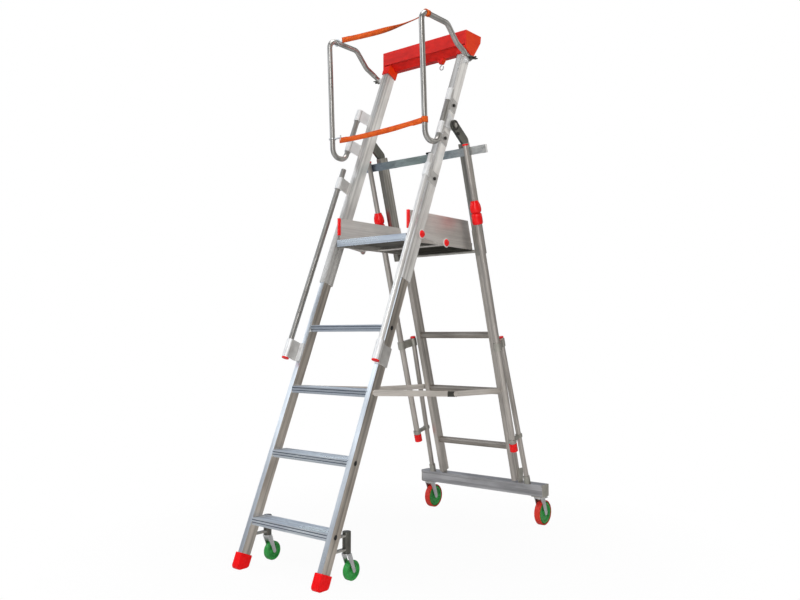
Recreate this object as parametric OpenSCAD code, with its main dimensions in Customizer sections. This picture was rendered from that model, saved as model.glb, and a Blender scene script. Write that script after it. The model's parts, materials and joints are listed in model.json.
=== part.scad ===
// Orchard picking ladder: two telescopic front stiles with treads, a work platform with a guard,
// a telescopic rear frame on a castor beam, and a tray for fruit at the top.
// X runs to the right as seen from the front, Y to the rear and Z up. The floor is Z = 0.

/* [Stance] */
// Lean of the front stiles back from upright, in degrees
front_lean = 22.5; // [21:0.5:24]
// Lean of the rear legs forward from upright, in degrees
rear_lean = 15.8; // [15:0.2:17]
// Depth on the floor from the front face of the front stiles to that of the rear stiles
base_depth = 1492; // [1440:1:1540]

/* [Front ladder] */
// Distance between the centres of the front stiles
stile_pitch = 466; // [440:1:500]
// Width of a lower stile across the ladder
stile_w = 25; // [22:0.5:28]
// Depth of a lower stile
stile_d = 48; // [42:0.5:52]
// Wall of a lower stile
stile_wall = 2; // [1.5:0.1:3]
// Height of the top end of the lower stiles, inside the upper ones
lower_top_z = 1680; // [1620:1:1720]
// Height of the top face of the first tread
first_tread_z = 202; // [180:1:220]
// Rise from one tread to the next
tread_rise = 270; // [250:1:280]
// Number of treads
tread_count = 4; // [3:1:4]
// Depth of a tread
tread_depth = 80; // [70:1:90]
// Height of a tread at its nose
tread_h = 29; // [24:1:34]
// Wall of a tread
tread_wall = 3; // [2:0.1:4]
// Height of a moulded foot
foot_h = 72; // [60:1:84]
// Wall of a moulded foot
foot_wall = 7; // [5:0.5:9]

/* [Upper stiles] */
// Width of an upper stile across the ladder
upper_w = 34; // [33:0.5:36]
// Depth of an upper stile
upper_d = 58; // [55:0.5:60]
// Height of the lower end of the upper stiles
upper_start_z = 1215; // [1180:1:1260]
// Height of the upper end of the upper stiles
upper_top_z = 2322; // [2300:1:2335]
// Clearance each side between the upper and the lower stile
slide_clear = 0.5; // [0.3:0.1:0.8]

/* [Handrails and guard] */
// Outside diameter of a handrail
rail_d = 25; // [22:0.5:28]
// Outside diameter of a guard tube
loop_d = 25; // [20:0.5:28]
// Wall of the handrails and guard tubes
tube_wall = 2; // [1.5:0.1:3]
// Distance of the handrail centre ahead of the front face of the stiles
rail_ahead = 49; // [46:1:54]
// Distance of the handrail centre outside the centre of the stiles
rail_outside = 36; // [34:0.5:40]
// Distance of the guard centre outside the centre of the stiles
loop_outside = 50; // [49:0.5:54]
// Height of the lower end of the handrails
rail_start_z = 850; // [820:1:880]
// Height of the upper end of the handrails
rail_top_z = 1758; // [1740:1:1775]
// Height of the top run of the guard
guard_top_z = 2402; // [2392:1:2410]
// Width of a guard strap
strap_w = 25; // [20:1:30]
// Thickness of a guard strap
strap_t = 2; // [1.5:0.1:3]

/* [Tray] */
// Height of the rim of the tray above the tops of the stiles
tray_rise = 110; // [98:1:118]
// Width of the tray at its rim, front to back
tray_w = 128; // [110:1:140]
// Wall of the tray
tray_wall = 4; // [3:0.5:5]

/* [Platform] */
// Height of the standing surface
deck_z = 1417; // [1400:1:1430]
// Length of the platform from front to back
deck_len = 514; // [490:1:520]
// Height of the nose of the platform
deck_nose_h = 33; // [28:1:36]
// Height of the toe-boards above the standing surface
toe_h = 106; // [90:1:115]
// Thickness of a toe-board
toe_t = 3; // [2:0.5:4]

/* [Rear frame] */
// Distance between the centres of the rear stiles
rear_pitch = 459; // [457:0.5:461]
// Width of a rear stile across the ladder
rear_w = 25; // [24:0.5:26]
// Depth of a rear stile
rear_d = 50; // [44:0.5:54]
// Height of the top end of the rear stiles
rear_top_z = 1470; // [1440:1:1500]
// Diameter of a rung
rung_d = 34; // [28:1:36]
// Height of the lowest rung
first_rung_z = 400; // [380:1:420]
// Rise from one rung to the next
rung_rise = 284.5; // [260:0.5:300]
// Number of rungs
rung_count = 3; // [2:1:3]
// Width of a rear post across the ladder
post_w = 28; // [26:0.5:30]
// Depth of a rear post
post_d = 55; // [50:0.5:58]
// Distance of the front face of the rear posts ahead of that of the rear stiles
post_ahead = 34; // [30:0.5:38]
// Height of the folding axis
hinge_z = 1947; // [1930:1:1960]
// Outside diameter of the sliding guide tubes
guide_d = 25; // [23:0.5:26]
// Outside diameter of the tubes that they slide in
sleeve_d = 30; // [29:0.5:32]
// Distance of the guide tubes from the middle of the ladder
guide_x = 302; // [298:0.5:308]
// Outside diameter of the brace tubes
brace_d = 25; // [22:0.5:28]
// Length of the bar across the rear
bar_len = 800; // [780:1:820]
// Height of the bar across the rear
bar_h = 38; // [32:0.5:42]
// Length of the castor beam
beam_len = 764; // [750:1:780]
// Height of the castor beam
beam_h = 60; // [50:1:66]

/* [Castors] */
// Diameter of a rear wheel
rear_wheel_d = 125; // [115:1:128]
// Width of a rear wheel
rear_wheel_w = 32; // [26:1:36]
// Diameter of a front wheel
front_wheel_d = 80; // [70:1:84]
// Width of a front wheel
front_wheel_w = 26; // [20:1:28]

/* [Hidden] */
$fn = 48;

// Colours
aluminium = [0.74, 0.74, 0.73];
dull_grey = [0.45, 0.46, 0.45];
dark_grey = [0.24, 0.24, 0.23];
red = [0.86, 0.10, 0.08];
green = [0.13, 0.58, 0.18];
orange = [0.95, 0.36, 0.12];
steel = [0.80, 0.81, 0.82];
black = [0.06, 0.06, 0.06];

// Fits shared by all pieces
overrun = 2;
run_clear = 0.05;
seat_gap = 0.3;

// Front stiles
stile_x = stile_pitch / 2;
tread_half = stile_x - stile_w / 2;
upper_wall = 2;
upper_in_x = tread_half - slide_clear - upper_wall;
upper_out_x = upper_in_x + upper_w;
upper_front = -slide_clear - upper_wall;
upper_back = upper_front + upper_d;
tread_setback = 6.5;
rib_h = 1;
rib_pitch = 8;
rib_w = 3;
hole_w = 14;
hole_h = 20;
nose_d = 22;
tread_back_h = 22;
nose_line_h = 3;
nose_line_d = 1.2;
nose_line_shares = [0.28, 0.66];

// Front castors, behind the stiles
front_castor_back = 177;
front_trail = 27;
socket_d = 34;
socket_bottom_z = 112;
socket_top_z = 197;
stem_d = 12;
crown_t = 6;
leg_t = 3;
leg_w = 22;
axle_d = 8;
wheel_gap = 1.5;
lug_t = 8;

// Rear frame
rear_x = rear_pitch / 2;
side_gap = 1;
post_x = rear_x + rear_w / 2 + side_gap + post_w / 2;
post_start_z = 1362;
post_top_z = 1880;
frame_wall = 2.5;
bar_t = 15;
bar_z = 1841;
guide_ahead = post_ahead + bar_t + guide_d / 2;
guide_bottom_z = 1150;
guide_top_z = 1868;
sleeve_bottom_z = 412;
sleeve_top_z = 1560;
brace_behind = 14;
brace_top_x = 278;
brace_foot_x = 301.5;
brace_top_z = 950;
beam_bottom_z = 152;
beam_d = 62;
beam_ahead = 42;
beam_wall = 3;
castor_inset = 32;
rear_castor_x = beam_len / 2 - castor_inset;
rear_trail = 32;
king_d = 14;
plate_t = 4;
head_d = 56;
head_t = 8;
tyre_t = 6;

// Depths: the origin is in the middle of the footprint
rear_reach = beam_d / 2 - beam_ahead + rear_trail + rear_wheel_d / 2;
sole_r = 16;
foot_toe = foot_wall / cos(front_lean) - sole_r * (tan(front_lean) + 1 / cos(front_lean) - 1);
front_y0 = (foot_toe - rear_reach - base_depth) / 2;
rear_y0 = front_y0 + base_depth;
function front_y(z) = front_y0 + z * tan(front_lean);
function rear_y(z) = rear_y0 - z * tan(rear_lean);
function front_s(z) = z / cos(front_lean);
function rear_s(z) = z / cos(rear_lean);
beam_mid_y = rear_y0 - beam_ahead + beam_d / 2;

// Folding axis and platform axis
hinge_back = 64;
hinge_y = front_y(hinge_z) + hinge_back;
pivot_drop = 3;
pivot_back = 43;
pivot_z = deck_z - pivot_drop;
pivot_y = front_y(pivot_z) + pivot_back;
link_drop = 23;
link_span = 182;
pin_d = 12;
button_d = 28;
button_t = 7;
link_w = 26;
link_t = 5;
link_x = upper_out_x + seat_gap;

// Folding stays
stay_w = 26;
stay_t = 4;
stay_front_z = 731;
stay_rear_z = 690;
stay_mid_share = 0.562;
stay_dip = 12;
stay_pin_d = 10;
stay_x = stile_x + stile_w / 2 + seat_gap;
stay_front_y = front_y(stay_front_z) + stile_d / 2 / cos(front_lean);
stay_rear_y = rear_y(stay_rear_z) + rear_d / 2 / cos(rear_lean);
stay_mid_y = stay_front_y + stay_mid_share * (stay_rear_y - stay_front_y);
stay_mid_z = stay_front_z + stay_mid_share * (stay_rear_z - stay_front_z) - stay_dip;

// Helpers that place things
module both() {
    children();
    mirror([1, 0, 0]) children();
}
module on_side(side) {
    if (side > 0) children();
    else mirror([1, 0, 0]) children();
}
// Along the front stiles: local Z climbs the stile and local Y points to the rear
module front_frame() translate([0, front_y0, 0]) rotate([-front_lean, 0, 0]) children();
// Along the rear legs: local Z climbs the leg and local Y points to the rear
module rear_frame() translate([0, rear_y0, 0]) rotate([rear_lean, 0, 0]) children();
// Draws in the plane of Y and Z, and extrudes along X from x0
module side_plate(x0, t) translate([x0, 0, 0]) rotate([90, 0, 90]) linear_extrude(t) children();

// Helpers that make things
module ring(d, wall) {
    difference() {
        circle(d = d);
        circle(d = d - 2 * wall);
    }
}
module tube(d, wall, h) linear_extrude(h) ring(d, wall);
module box_tube(w, d, wall, h) {
    linear_extrude(h) difference() {
        translate([-w / 2, 0]) square([w, d]);
        translate([wall - w / 2, wall]) square([w - 2 * wall, d - 2 * wall]);
    }
}
module rod_x(x0, x1, d) translate([x0, 0, 0]) rotate([0, 90, 0]) cylinder(d = d, h = x1 - x0);
module rounded(w, d, r) {
    translate([r, 0]) square([w - 2 * r, d]);
    translate([0, r]) square([w, d - 2 * r]);
    for (x = [r, w - r], y = [r, d - r]) translate([x, y]) circle(r = r);
}
module slot(w, h) hull() for (s = [-1, 1]) translate([0, s * (h - w) / 2]) circle(d = w, $fn = 32);
function unit(v) = v / norm(v);
function left_of(v) = [-v[1], v[0]];
function turn_of(a, b) = atan2(a[0] * b[1] - a[1] * b[0], a * b);
// Length that the bend at corner i takes off each straight there
function bend_off(p, r, i) =
    i == 0 || i == len(p) - 1 ? 0 : r[i] * tan(abs(turn_of(unit(p[i] - p[i - 1]), unit(p[i + 1] - p[i]))) / 2);
// Stations along the corners p with a bend of radius r[i] at corner i: [place, direction]
bend_steps = 6;
function bend_stations(p, r, i) =
    let (a = unit(p[i] - p[i - 1]), b = unit(p[i + 1] - p[i]), turn = turn_of(a, b), out = -left_of(a) * sign(turn),
         mid = p[i] - a * bend_off(p, r, i) - out * r[i], from = atan2(out[1], out[0]), way = atan2(a[1], a[0]))
    [for (k = [0 : bend_steps]) let (w = turn * k / bend_steps)
        [mid + r[i] * [cos(from + w), sin(from + w)], [cos(way + w), sin(way + w)]]];
function stations(p, r) = let (n = len(p) - 1)
    concat([[p[0], unit(p[1] - p[0])]], [for (i = [1 : n - 1]) each bend_stations(p, r, i)],
           [[p[n], unit(p[n] - p[n - 1])]]);
// Hollow tube along those stations in the plane of Y and Z, as two skins joined at the ends
tube_sides = 12;
function skin(st, rad) = [for (s = st) for (k = [0 : tube_sides - 1])
    let (w = 360 * k / tube_sides, n = left_of(s[1]))
    [rad * sin(w), s[0][0] + rad * cos(w) * n[0], s[0][1] + rad * cos(w) * n[1]]];
module bent_tube(p, r, d, wall) {
    st = stations(p, r);
    n = len(st);
    m = tube_sides;
    inner = n * m;
    outer_faces = [for (i = [0 : n - 2], k = [0 : m - 1]) let (l = (k + 1) % m)
        [i * m + k, (i + 1) * m + k, (i + 1) * m + l, i * m + l]];
    inner_faces = [for (f = outer_faces) [for (k = [3 : -1 : 0]) f[k] + inner]];
    first_faces = [for (k = [0 : m - 1]) let (l = (k + 1) % m) [k, l, l + inner, k + inner]];
    last = (n - 1) * m;
    last_faces = [for (k = [0 : m - 1]) let (l = (k + 1) % m) [last + k, last + k + inner, last + l + inner, last + l]];
    polyhedron(concat(skin(st, d / 2), skin(st, d / 2 - wall)),
               concat(outer_faces, inner_faces, first_faces, last_faces));
}

// Upper stiles: outer sections that the lower stiles slide in
module upper_stile(side) {
    start = front_s(upper_start_z);
    span = front_s(upper_top_z) - start;
    on_side(side) front_frame() translate([0, 0, start]) difference() {
        linear_extrude(span) difference() {
            translate([upper_in_x, upper_front]) square([upper_w, upper_d]);
            translate([tread_half - slide_clear, -slide_clear])
                square([stile_w + 2 * slide_clear, stile_d + 2 * slide_clear]);
        }
        to_pivot = front_s(pivot_z) - start;
        translate([0, pivot_back * cos(front_lean), to_pivot + pivot_back * sin(front_lean)])
            rod_x(stile_x, upper_out_x + overrun, pin_d + 2 * run_clear);
    }
}
module upper_stile_left() color(aluminium) upper_stile(-1);
module upper_stile_right() color(aluminium) upper_stile(1);

// Fruit tray across the tops of the upper stiles
tray_ahead = 37;
tray_side = 10;
tray_top_z = upper_top_z + tray_rise;
tray_front_y = front_y(tray_top_z) - tray_ahead;
tray_half = upper_out_x + tray_side;
tray_lip_h = 66;
tray_floor_h = 96;
tray_lip_in = 12;
tray_shares = [[0.30, 1], [0.55, 1], [0.92, 0.36], [1, 0]];
tray_end_t = 7;
tray_end_shares = [[0, 0], [0, 0.75], [0.45, 1], [0.96, 0.28], [1, 0]];
tray_end_h = 122;
tray_outer = [[0, 0], [0, -tray_lip_h], [tray_lip_in, -tray_lip_h],
              for (s = tray_shares) [s[0] * tray_w, -s[1] * tray_floor_h]];
boss_half = 24;
boss_drop = 22;
boss_tip = 7;
boss_t = 20;
boss_x = 80;
shoulder_drop = 8;
shoulder_rise = 40;
module tray_outline() polygon(tray_outer);
module fruit_tray() color(red) {
    translate([0, tray_front_y, tray_top_z]) difference() {
        union() {
            side_plate(-tray_half, 2 * tray_half) tray_outline();
            // deeper end plates
            both() side_plate(tray_half - tray_end_t, tray_end_t)
                polygon([for (s = tray_end_shares) [s[0] * tray_w, -s[1] * tray_end_h]]);
            // shoulders round the stile tops
            both() translate([0, -tray_front_y, -tray_top_z]) front_frame()
                translate([upper_in_x - tray_wall, upper_front - tray_wall, front_s(upper_top_z) - shoulder_drop])
                    cube([upper_w + 2 * tray_wall, upper_d + 2 * tray_wall, shoulder_drop + shoulder_rise]);
            // drop-shaped boss that holds the hook
            translate([boss_x, tray_shares[0][0] * tray_w, -tray_floor_h]) rotate([90, 0, 0])
                translate([0, 0, -boss_t]) linear_extrude(boss_t)
                    polygon([[-boss_half, overrun], [-boss_tip, -boss_drop], [boss_tip, -boss_drop], [boss_half, overrun]]);
        }
        // hollow of the tray, open at the top
        side_plate(tray_wall - tray_half, 2 * (tray_half - tray_wall)) intersection() {
            offset(delta = -tray_wall) tray_outline();
            translate([0, -tray_floor_h]) square([tray_w, tray_floor_h]);
        }
        translate([tray_wall - tray_half, tray_wall, -2 * tray_wall])
            cube([2 * (tray_half - tray_wall), tray_w - 2 * tray_wall, 2 * tray_wall + overrun]);
        // hole for the screw of the hook
        translate([boss_x, tray_shares[0][0] * tray_w + boss_t / 2, -tray_floor_h - boss_drop - overrun])
            cylinder(d = hook_wire + 2 * run_clear, h = boss_drop + overrun + tray_wall);
        // seats for the stile tops
        both() translate([0, -tray_front_y, -tray_top_z]) front_frame()
            translate([upper_in_x - seat_gap, upper_front - seat_gap, 0])
                cube([upper_w + 2 * seat_gap, upper_d + 2 * seat_gap, front_s(upper_top_z)]);
    }
}

// Open eye under the tray that a bucket hangs on
hook_wire = 5;
hook_bend = 11;
hook_shank = 24;
hook_turn = 300;
module tray_hook() color(steel) {
    translate([boss_x, tray_front_y + tray_shares[0][0] * tray_w + boss_t / 2,
               tray_top_z - tray_floor_h - boss_drop]) {
        translate([0, 0, -hook_shank + boss_drop - tray_wall]) cylinder(d = hook_wire, h = hook_shank);
        translate([0, 0, -hook_shank + boss_drop - tray_wall - hook_bend]) rotate([90, 90, 0])
            rotate([0, 0, 180]) rotate_extrude(angle = hook_turn) translate([hook_bend, 0]) circle(d = hook_wire);
    }
}

// Handrails ahead of the stiles
rail_x = stile_x + rail_outside;
module handrails() color(aluminium) both() front_frame()
    translate([rail_x, -rail_ahead, front_s(rail_start_z)])
        tube(rail_d, tube_wall, front_s(rail_top_z) - front_s(rail_start_z));

// Guard loops: from the end that stands on the handrail line, round the front and back to the stile top
loop_x = stile_x + loop_outside;
loop_bend = 46;
loop_corner = 40;
loop_front_gap = 84;
loop_lean = 28;
loop_low_z = 1832;
loop_end_z = 2095;
clamp_z = 2288;
clamp_back = 25;
tail_t = 8;
tail_w = 26;
tail_run = 50;
tail_rise = 19.5;
slope_top = 185;
slope_foot = 110;
slope_rise = 43;
slope_bend = 50;
loop_straight_y = front_y(loop_end_z) - rail_ahead / cos(front_lean);
loop_front_y = front_y(loop_low_z) - rail_ahead / cos(front_lean) - loop_front_gap;
loop_top_y = loop_front_y - loop_lean;
loop_bends = [0, loop_bend, loop_bend, loop_corner, loop_corner, slope_bend, 0];
clamp_y = front_y(clamp_z) + clamp_back;
tail_y = clamp_y - tail_run;
tail_z = clamp_z + tail_rise;
loop_points = [[loop_straight_y, loop_end_z],
               [front_y(loop_low_z) - rail_ahead / cos(front_lean), loop_low_z],
               [loop_front_y, loop_low_z],
               [loop_top_y, guard_top_z],
               [clamp_y - slope_top, guard_top_z],
               [clamp_y - slope_foot, clamp_z + slope_rise],
               [tail_y, tail_z]];
module guard_loop(side) on_side(side) {
    translate([loop_x, 0, 0]) bent_tube(loop_points, loop_bends, loop_d, tube_wall);
    difference() {
        side_plate(loop_x - tail_t / 2, tail_t) hull() {
            translate([tail_y, tail_z]) circle(d = loop_d - tube_wall, $fn = 32);
            translate([clamp_y, clamp_z]) circle(d = tail_w, $fn = 32);
        }
        translate([0, clamp_y, clamp_z]) rod_x(loop_x - tail_t, loop_x + tail_t, bolt_d + 2 * run_clear);
    }
}
module guard_loop_left() color(aluminium) guard_loop(-1);
module guard_loop_right() color(aluminium) guard_loop(1);

// Brackets that hold the tubes: a collar round the tube and a plate back to the stile
bracket_wall = 4;
bolt_d = 8;
shoe_h = 86;
rail_head_z = 1684;
loop_bracket_zs = [1885, 2052];
bracket_h = 62;
// Bracket on an upper stile round a tube of diameter d at x, at height z
module stile_bracket(x, d, z) front_frame() translate([0, 0, front_s(z) - bracket_h / 2]) linear_extrude(bracket_h)
    difference() {
        side_x = x - d / 2;
        union() {
            translate([x, -rail_ahead]) circle(d = d + 2 * bracket_wall);
            polygon([[side_x - bracket_wall, -rail_ahead], [side_x, -rail_ahead],
                     [upper_out_x + bracket_wall, upper_front], [upper_out_x + bracket_wall, upper_back - bracket_wall],
                     [upper_out_x, upper_back - bracket_wall], [upper_out_x, upper_front]]);
        }
        translate([x, -rail_ahead]) circle(d = d + 2 * run_clear);
    }
// Shoe at the foot of a handrail that slides on the lower stile
module guide_shoe() front_frame() translate([0, 0, front_s(rail_start_z)]) {
    linear_extrude(shoe_h) difference() {
        out_x = stile_x + stile_w / 2 + slide_clear;
        union() {
            translate([rail_x, -rail_ahead]) circle(d = rail_d + 2 * bracket_wall);
            translate([rail_x - rail_d / 2 - bracket_wall, -rail_ahead])
                square([bracket_wall, rail_ahead - slide_clear - bracket_wall + overrun]);
            translate([tread_half + bracket_wall, -slide_clear - bracket_wall])
                square([out_x + bracket_wall - tread_half - bracket_wall, stile_d + 2 * slide_clear + 2 * bracket_wall]);
        }
        translate([rail_x, -rail_ahead]) circle(d = rail_d + 2 * run_clear);
        translate([tread_half - overrun, -slide_clear]) square([out_x - tread_half + overrun, stile_d + 2 * slide_clear]);
    }
}
// Block between the stile top and the flat tail of a guard loop
block_d = 30;
module clamp_block() difference() {
    translate([0, clamp_y, clamp_z]) rod_x(upper_out_x, loop_x - tail_t / 2, block_d);
    translate([0, clamp_y, clamp_z]) rod_x(upper_out_x - overrun, loop_x, bolt_d + 2 * run_clear);
}
module tube_brackets() color(dull_grey) both() {
    guide_shoe();
    stile_bracket(rail_x, rail_d, rail_head_z);
    for (z = loop_bracket_zs) stile_bracket(loop_x, loop_d, z);
    clamp_block();
}

// Plugs under the handrails
cap_h = 6;
module rail_end_caps() color(red) both() front_frame()
    translate([rail_x, -rail_ahead, front_s(rail_start_z) - cap_h]) cylinder(d = rail_d + 2 * bracket_wall, h = cap_h);

// Bolts through the brackets and stile tops
bolt_head_d = 15;
bolt_head_t = 6;
nut_seat = 6;
bolt_tip = 30;
module bracket_bolts() color(dark_grey) both() {
    translate([0, clamp_y, clamp_z]) {
        rod_x(upper_out_x, loop_x + tail_t / 2 + bolt_tip, bolt_d);
    }
    front_frame() for (z = concat([rail_head_z], loop_bracket_zs))
        translate([0, upper_front + upper_d / 2, front_s(z)])
            rod_x(upper_out_x + bracket_wall, upper_out_x + bracket_wall + bolt_head_t, bolt_head_d);
}

// Wing nuts that clamp the guard loops to the stile tops
nut_d = 18;
nut_h = 12;
wing_span = 54;
wing_t = 4;
wing_rise = 16;
module wing_nut(side) on_side(side) translate([loop_x + tail_t / 2 + seat_gap, clamp_y, clamp_z]) difference() {
    union() {
        rod_x(0, nut_h, nut_d);
        for (a = [0, 180]) rotate([a, 0, 0]) translate([nut_h / 2, 0, -wing_t / 2]) linear_extrude(wing_t)
            polygon([[-nut_h / 2, 0], [nut_h / 2, 0], [wing_rise, wing_span / 2], [0, wing_span / 2]]);
    }
    rod_x(-overrun, nut_h + overrun + wing_rise, bolt_d + 2 * run_clear);
}
module wing_nut_left() color(steel) wing_nut(-1);
module wing_nut_right() color(steel) wing_nut(1);

// Guard straps: a sagging band with a sewn loop round the right tube and a snap hook on the left tube
strap_low_z = 1918;
strap_low_sag = 12;
strap_high_sag = 14;
strap_steps = 16;
hook_len = 44;
hook_inner = loop_d / 2 + seat_gap;
snap_wire = 5;
strap_left_x = -loop_x + hook_inner + hook_len;
strap_right_x = loop_x - loop_d / 2 - seat_gap;
strap_low_share = (strap_low_z - loop_low_z) / (guard_top_z - loop_low_z);
strap_low_y = loop_front_y - loop_lean * strap_low_share;
strap_low_tilt = atan2(loop_lean, guard_top_z - loop_low_z);
strap_high_y = loop_top_y + loop_corner + strap_w / 2;
function sag_at(s, sag) = -4 * sag * s * (1 - s);
// Band in the plane of X and the strap's own drop, t thick along that plane's normal
module sagging_band(sag, h, t) {
    upper_edge = [for (i = [0 : strap_steps]) let (s = i / strap_steps)
        [strap_left_x + s * (strap_right_x - strap_left_x), sag_at(s, sag) + h / 2]];
    lower_edge = [for (i = [strap_steps : -1 : 0]) [upper_edge[i][0], upper_edge[i][1] - h]];
    rotate([90, 0, 0]) translate([0, 0, -t / 2]) linear_extrude(t) polygon(concat(upper_edge, lower_edge));
}
module sewn_loop() translate([loop_x, 0, -strap_w / 2]) tube(loop_d + 2 * (strap_t + seat_gap), strap_t, strap_w);
module snap_hook() translate([-loop_x, 0, -snap_wire / 2]) {
    linear_extrude(snap_wire) ring(loop_d + 2 * (seat_gap + snap_wire), snap_wire);
    translate([hook_inner, -snap_wire, 0]) cube([hook_len - snap_wire - seat_gap, 2 * snap_wire, snap_wire]);
    translate([hook_inner + hook_len - snap_wire - seat_gap, -snap_wire / 2, snap_wire / 2 - strap_w / 2])
        cube([snap_wire, snap_wire, strap_w]);
}
module at_low_strap() translate([0, strap_low_y, strap_low_z]) rotate([strap_low_tilt, 0, 0]) children();
module at_high_strap() translate([0, strap_high_y, guard_top_z]) rotate([-90, 0, 0]) children();
module strap_lower() color(orange) at_low_strap() {
    sagging_band(strap_low_sag, strap_w, strap_t);
    sewn_loop();
}
module strap_upper() color(orange) {
    translate([0, strap_high_y, guard_top_z]) sagging_band(strap_high_sag, strap_t, strap_w);
    at_high_strap() sewn_loop();
}
module strap_hooks() color(steel) {
    at_low_strap() snap_hook();
    at_high_strap() snap_hook();
}

// Hinge plates on the outer faces of the upper stiles, and the pins they carry
hinge_plate_t = 4;
hinge_pin_d = 14;
eye_d = 50;
plate_rise = 48;
plate_drop = 12;
pin_head_d = 22;
pin_head_t = 4;
eye_t = 12;
plate_fore = 14;
hinge_face_x = upper_out_x + hinge_plate_t + seat_gap;
module hinge_plates() color(dull_grey) both() difference() {
    side_plate(upper_out_x, hinge_plate_t) hull() {
        translate([hinge_y, hinge_z]) circle(d = eye_d, $fn = 32);
        for (z = [hinge_z - plate_drop, hinge_z + plate_rise]) translate([front_y(z) + plate_fore, z])
            circle(d = plate_fore, $fn = 32);
    }
    translate([0, hinge_y, hinge_z]) rod_x(upper_out_x - overrun, hinge_face_x, hinge_pin_d + 2 * run_clear);
}
module hinge_pins() color(steel) both() translate([0, hinge_y, hinge_z]) {
    rod_x(upper_out_x, hinge_face_x + eye_t + seat_gap, hinge_pin_d);
    rod_x(hinge_face_x + eye_t + seat_gap, hinge_face_x + eye_t + seat_gap + pin_head_t, pin_head_d);
}

// Pins through the upper stiles on which the platform folds, with red heads
module platform_pins() color(red) both() translate([0, pivot_y, pivot_z]) {
    rod_x(stile_x + stile_w / 2 + slide_clear, link_x + link_t + seat_gap, pin_d);
    rod_x(link_x + link_t + seat_gap, link_x + link_t + seat_gap + button_t, button_d);
}

// Lower stiles of the front ladder
module lower_stile(side) on_side(side) {
    start = foot_h / 3;
    difference() {
        front_frame() translate([stile_x, 0, start])
            box_tube(stile_w, stile_d, stile_wall, front_s(lower_top_z) - start);
        // open ends of the tread fixings
        for (i = [0 : tread_count - 1]) {
            z = first_tread_z + i * tread_rise - tread_h / 2;
            translate([0, front_y(z) + stile_d / 2, z]) rotate([-front_lean, 0, 0])
                side_plate(stile_x, stile_w) slot(hole_w, hole_h);
        }
        translate([0, stay_front_y, stay_front_z]) rod_x(stile_x, stay_x, stay_pin_d + 2 * run_clear);
    }
}
module lower_stile_left() color(aluminium) lower_stile(-1);
module lower_stile_right() color(aluminium) lower_stile(1);

// Treads: a ribbed top, a hollow nose and a lip at the back
module tread_outline() {
    difference() {
        union() {
            translate([0, -tread_h]) square([nose_d, tread_h]);
            translate([0, -tread_wall]) square([tread_depth, tread_wall]);
            translate([tread_depth - tread_wall, -tread_back_h]) square([tread_wall, tread_back_h]);
            for (y = [rib_pitch / 2 : rib_pitch : tread_depth - rib_w]) translate([y, -rib_h]) square([rib_w, 2 * rib_h]);
        }
        translate([tread_wall, tread_wall - tread_h]) square([nose_d - 2 * tread_wall, tread_h - 2 * tread_wall]);
        for (s = nose_line_shares) translate([-nose_line_d, -s * tread_h]) square([2 * nose_line_d, nose_line_h]);
    }
}
module treads() color(aluminium) for (i = [0 : tread_count - 1]) {
    z = first_tread_z + i * tread_rise;
    translate([0, front_y(z - tread_h) + tread_setback, z]) side_plate(-tread_half, 2 * tread_half) tread_outline();
}

// Moulded feet on the lower stiles, with round toes and heels
sole_mid = sole_r * tan(front_lean);
toe_mid_y = front_y0 - foot_wall / cos(front_lean) + sole_mid + sole_r / cos(front_lean);
heel_mid_y = front_y0 + (stile_d + foot_wall) / cos(front_lean) + sole_mid - sole_r / cos(front_lean);
module front_feet() color(red) both() difference() {
    side_plate(stile_x - stile_w / 2 - foot_wall, stile_w + 2 * foot_wall) hull() {
        for (y = [toe_mid_y, heel_mid_y]) translate([y, sole_r]) circle(r = sole_r);
        translate([front_y0, 0]) rotate(-front_lean) translate([-foot_wall, foot_h / 2])
            square([stile_d + 2 * foot_wall, foot_h / 2]);
    }
    front_frame() translate([stile_x - stile_w / 2, 0, foot_h / 3]) cube([stile_w, stile_d, foot_h]);
}

// Sockets of the front castors, behind the stiles
front_castor_y = front_y0 + front_castor_back;
module castor_sockets() color(dark_grey) both() translate([stile_x, front_castor_y, 0]) difference() {
    translate([0, 0, socket_bottom_z]) cylinder(d = socket_d, h = socket_top_z - socket_bottom_z);
    translate([0, 0, socket_bottom_z - overrun])
        cylinder(d = stem_d + 2 * run_clear, h = socket_top_z - socket_bottom_z - crown_t + overrun);
}
lug_w = 20;
lug_zs = [124, 178];
module socket_brackets() color(dull_grey) both() for (z = lug_zs) {
    back_y = front_y(z) + stile_d / cos(front_lean);
    difference() {
        translate([stile_x - lug_w / 2, back_y - lug_w, z])
            cube([lug_w, front_castor_y - back_y + lug_w, lug_t]);
        translate([stile_x, front_castor_y, z - overrun]) cylinder(d = socket_d + 2 * run_clear, h = lug_t + 2 * overrun);
        front_frame() translate([stile_x - stile_w, -overrun, 0])
            cube([2 * stile_w, stile_d + overrun, front_s(z + 2 * lug_w)]);
    }
}

// Front castors
front_axle_z = front_wheel_d / 2;
module front_fork(side) on_side(side) translate([stile_x, front_castor_y, 0]) {
    gap = front_wheel_w / 2 + wheel_gap;
    difference() {
        crown_z = socket_bottom_z - seat_gap - crown_t;
        union() {
            translate([0, 0, crown_z]) cylinder(d = socket_d, h = crown_t);
            translate([0, 0, crown_z]) cylinder(d = stem_d, h = socket_top_z - 2 * crown_t - crown_z);
            translate([-gap - leg_t, -leg_w / 2, crown_z]) cube([2 * (gap + leg_t), leg_w, crown_t]);
            for (s = [-1, 1]) side_plate(s * (gap + leg_t / 2) - leg_t / 2, leg_t) hull() {
                translate([-leg_w / 2, crown_z]) square([leg_w, crown_t]);
                translate([front_trail, front_axle_z]) circle(d = 2 * axle_d, $fn = 32);
            }
            translate([0, front_trail, front_axle_z]) rod_x(-gap - leg_t, gap + leg_t, axle_d);
        }
    }
}
module front_fork_left() color(dull_grey) front_fork(-1);
module front_fork_right() color(dull_grey) front_fork(1);
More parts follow.
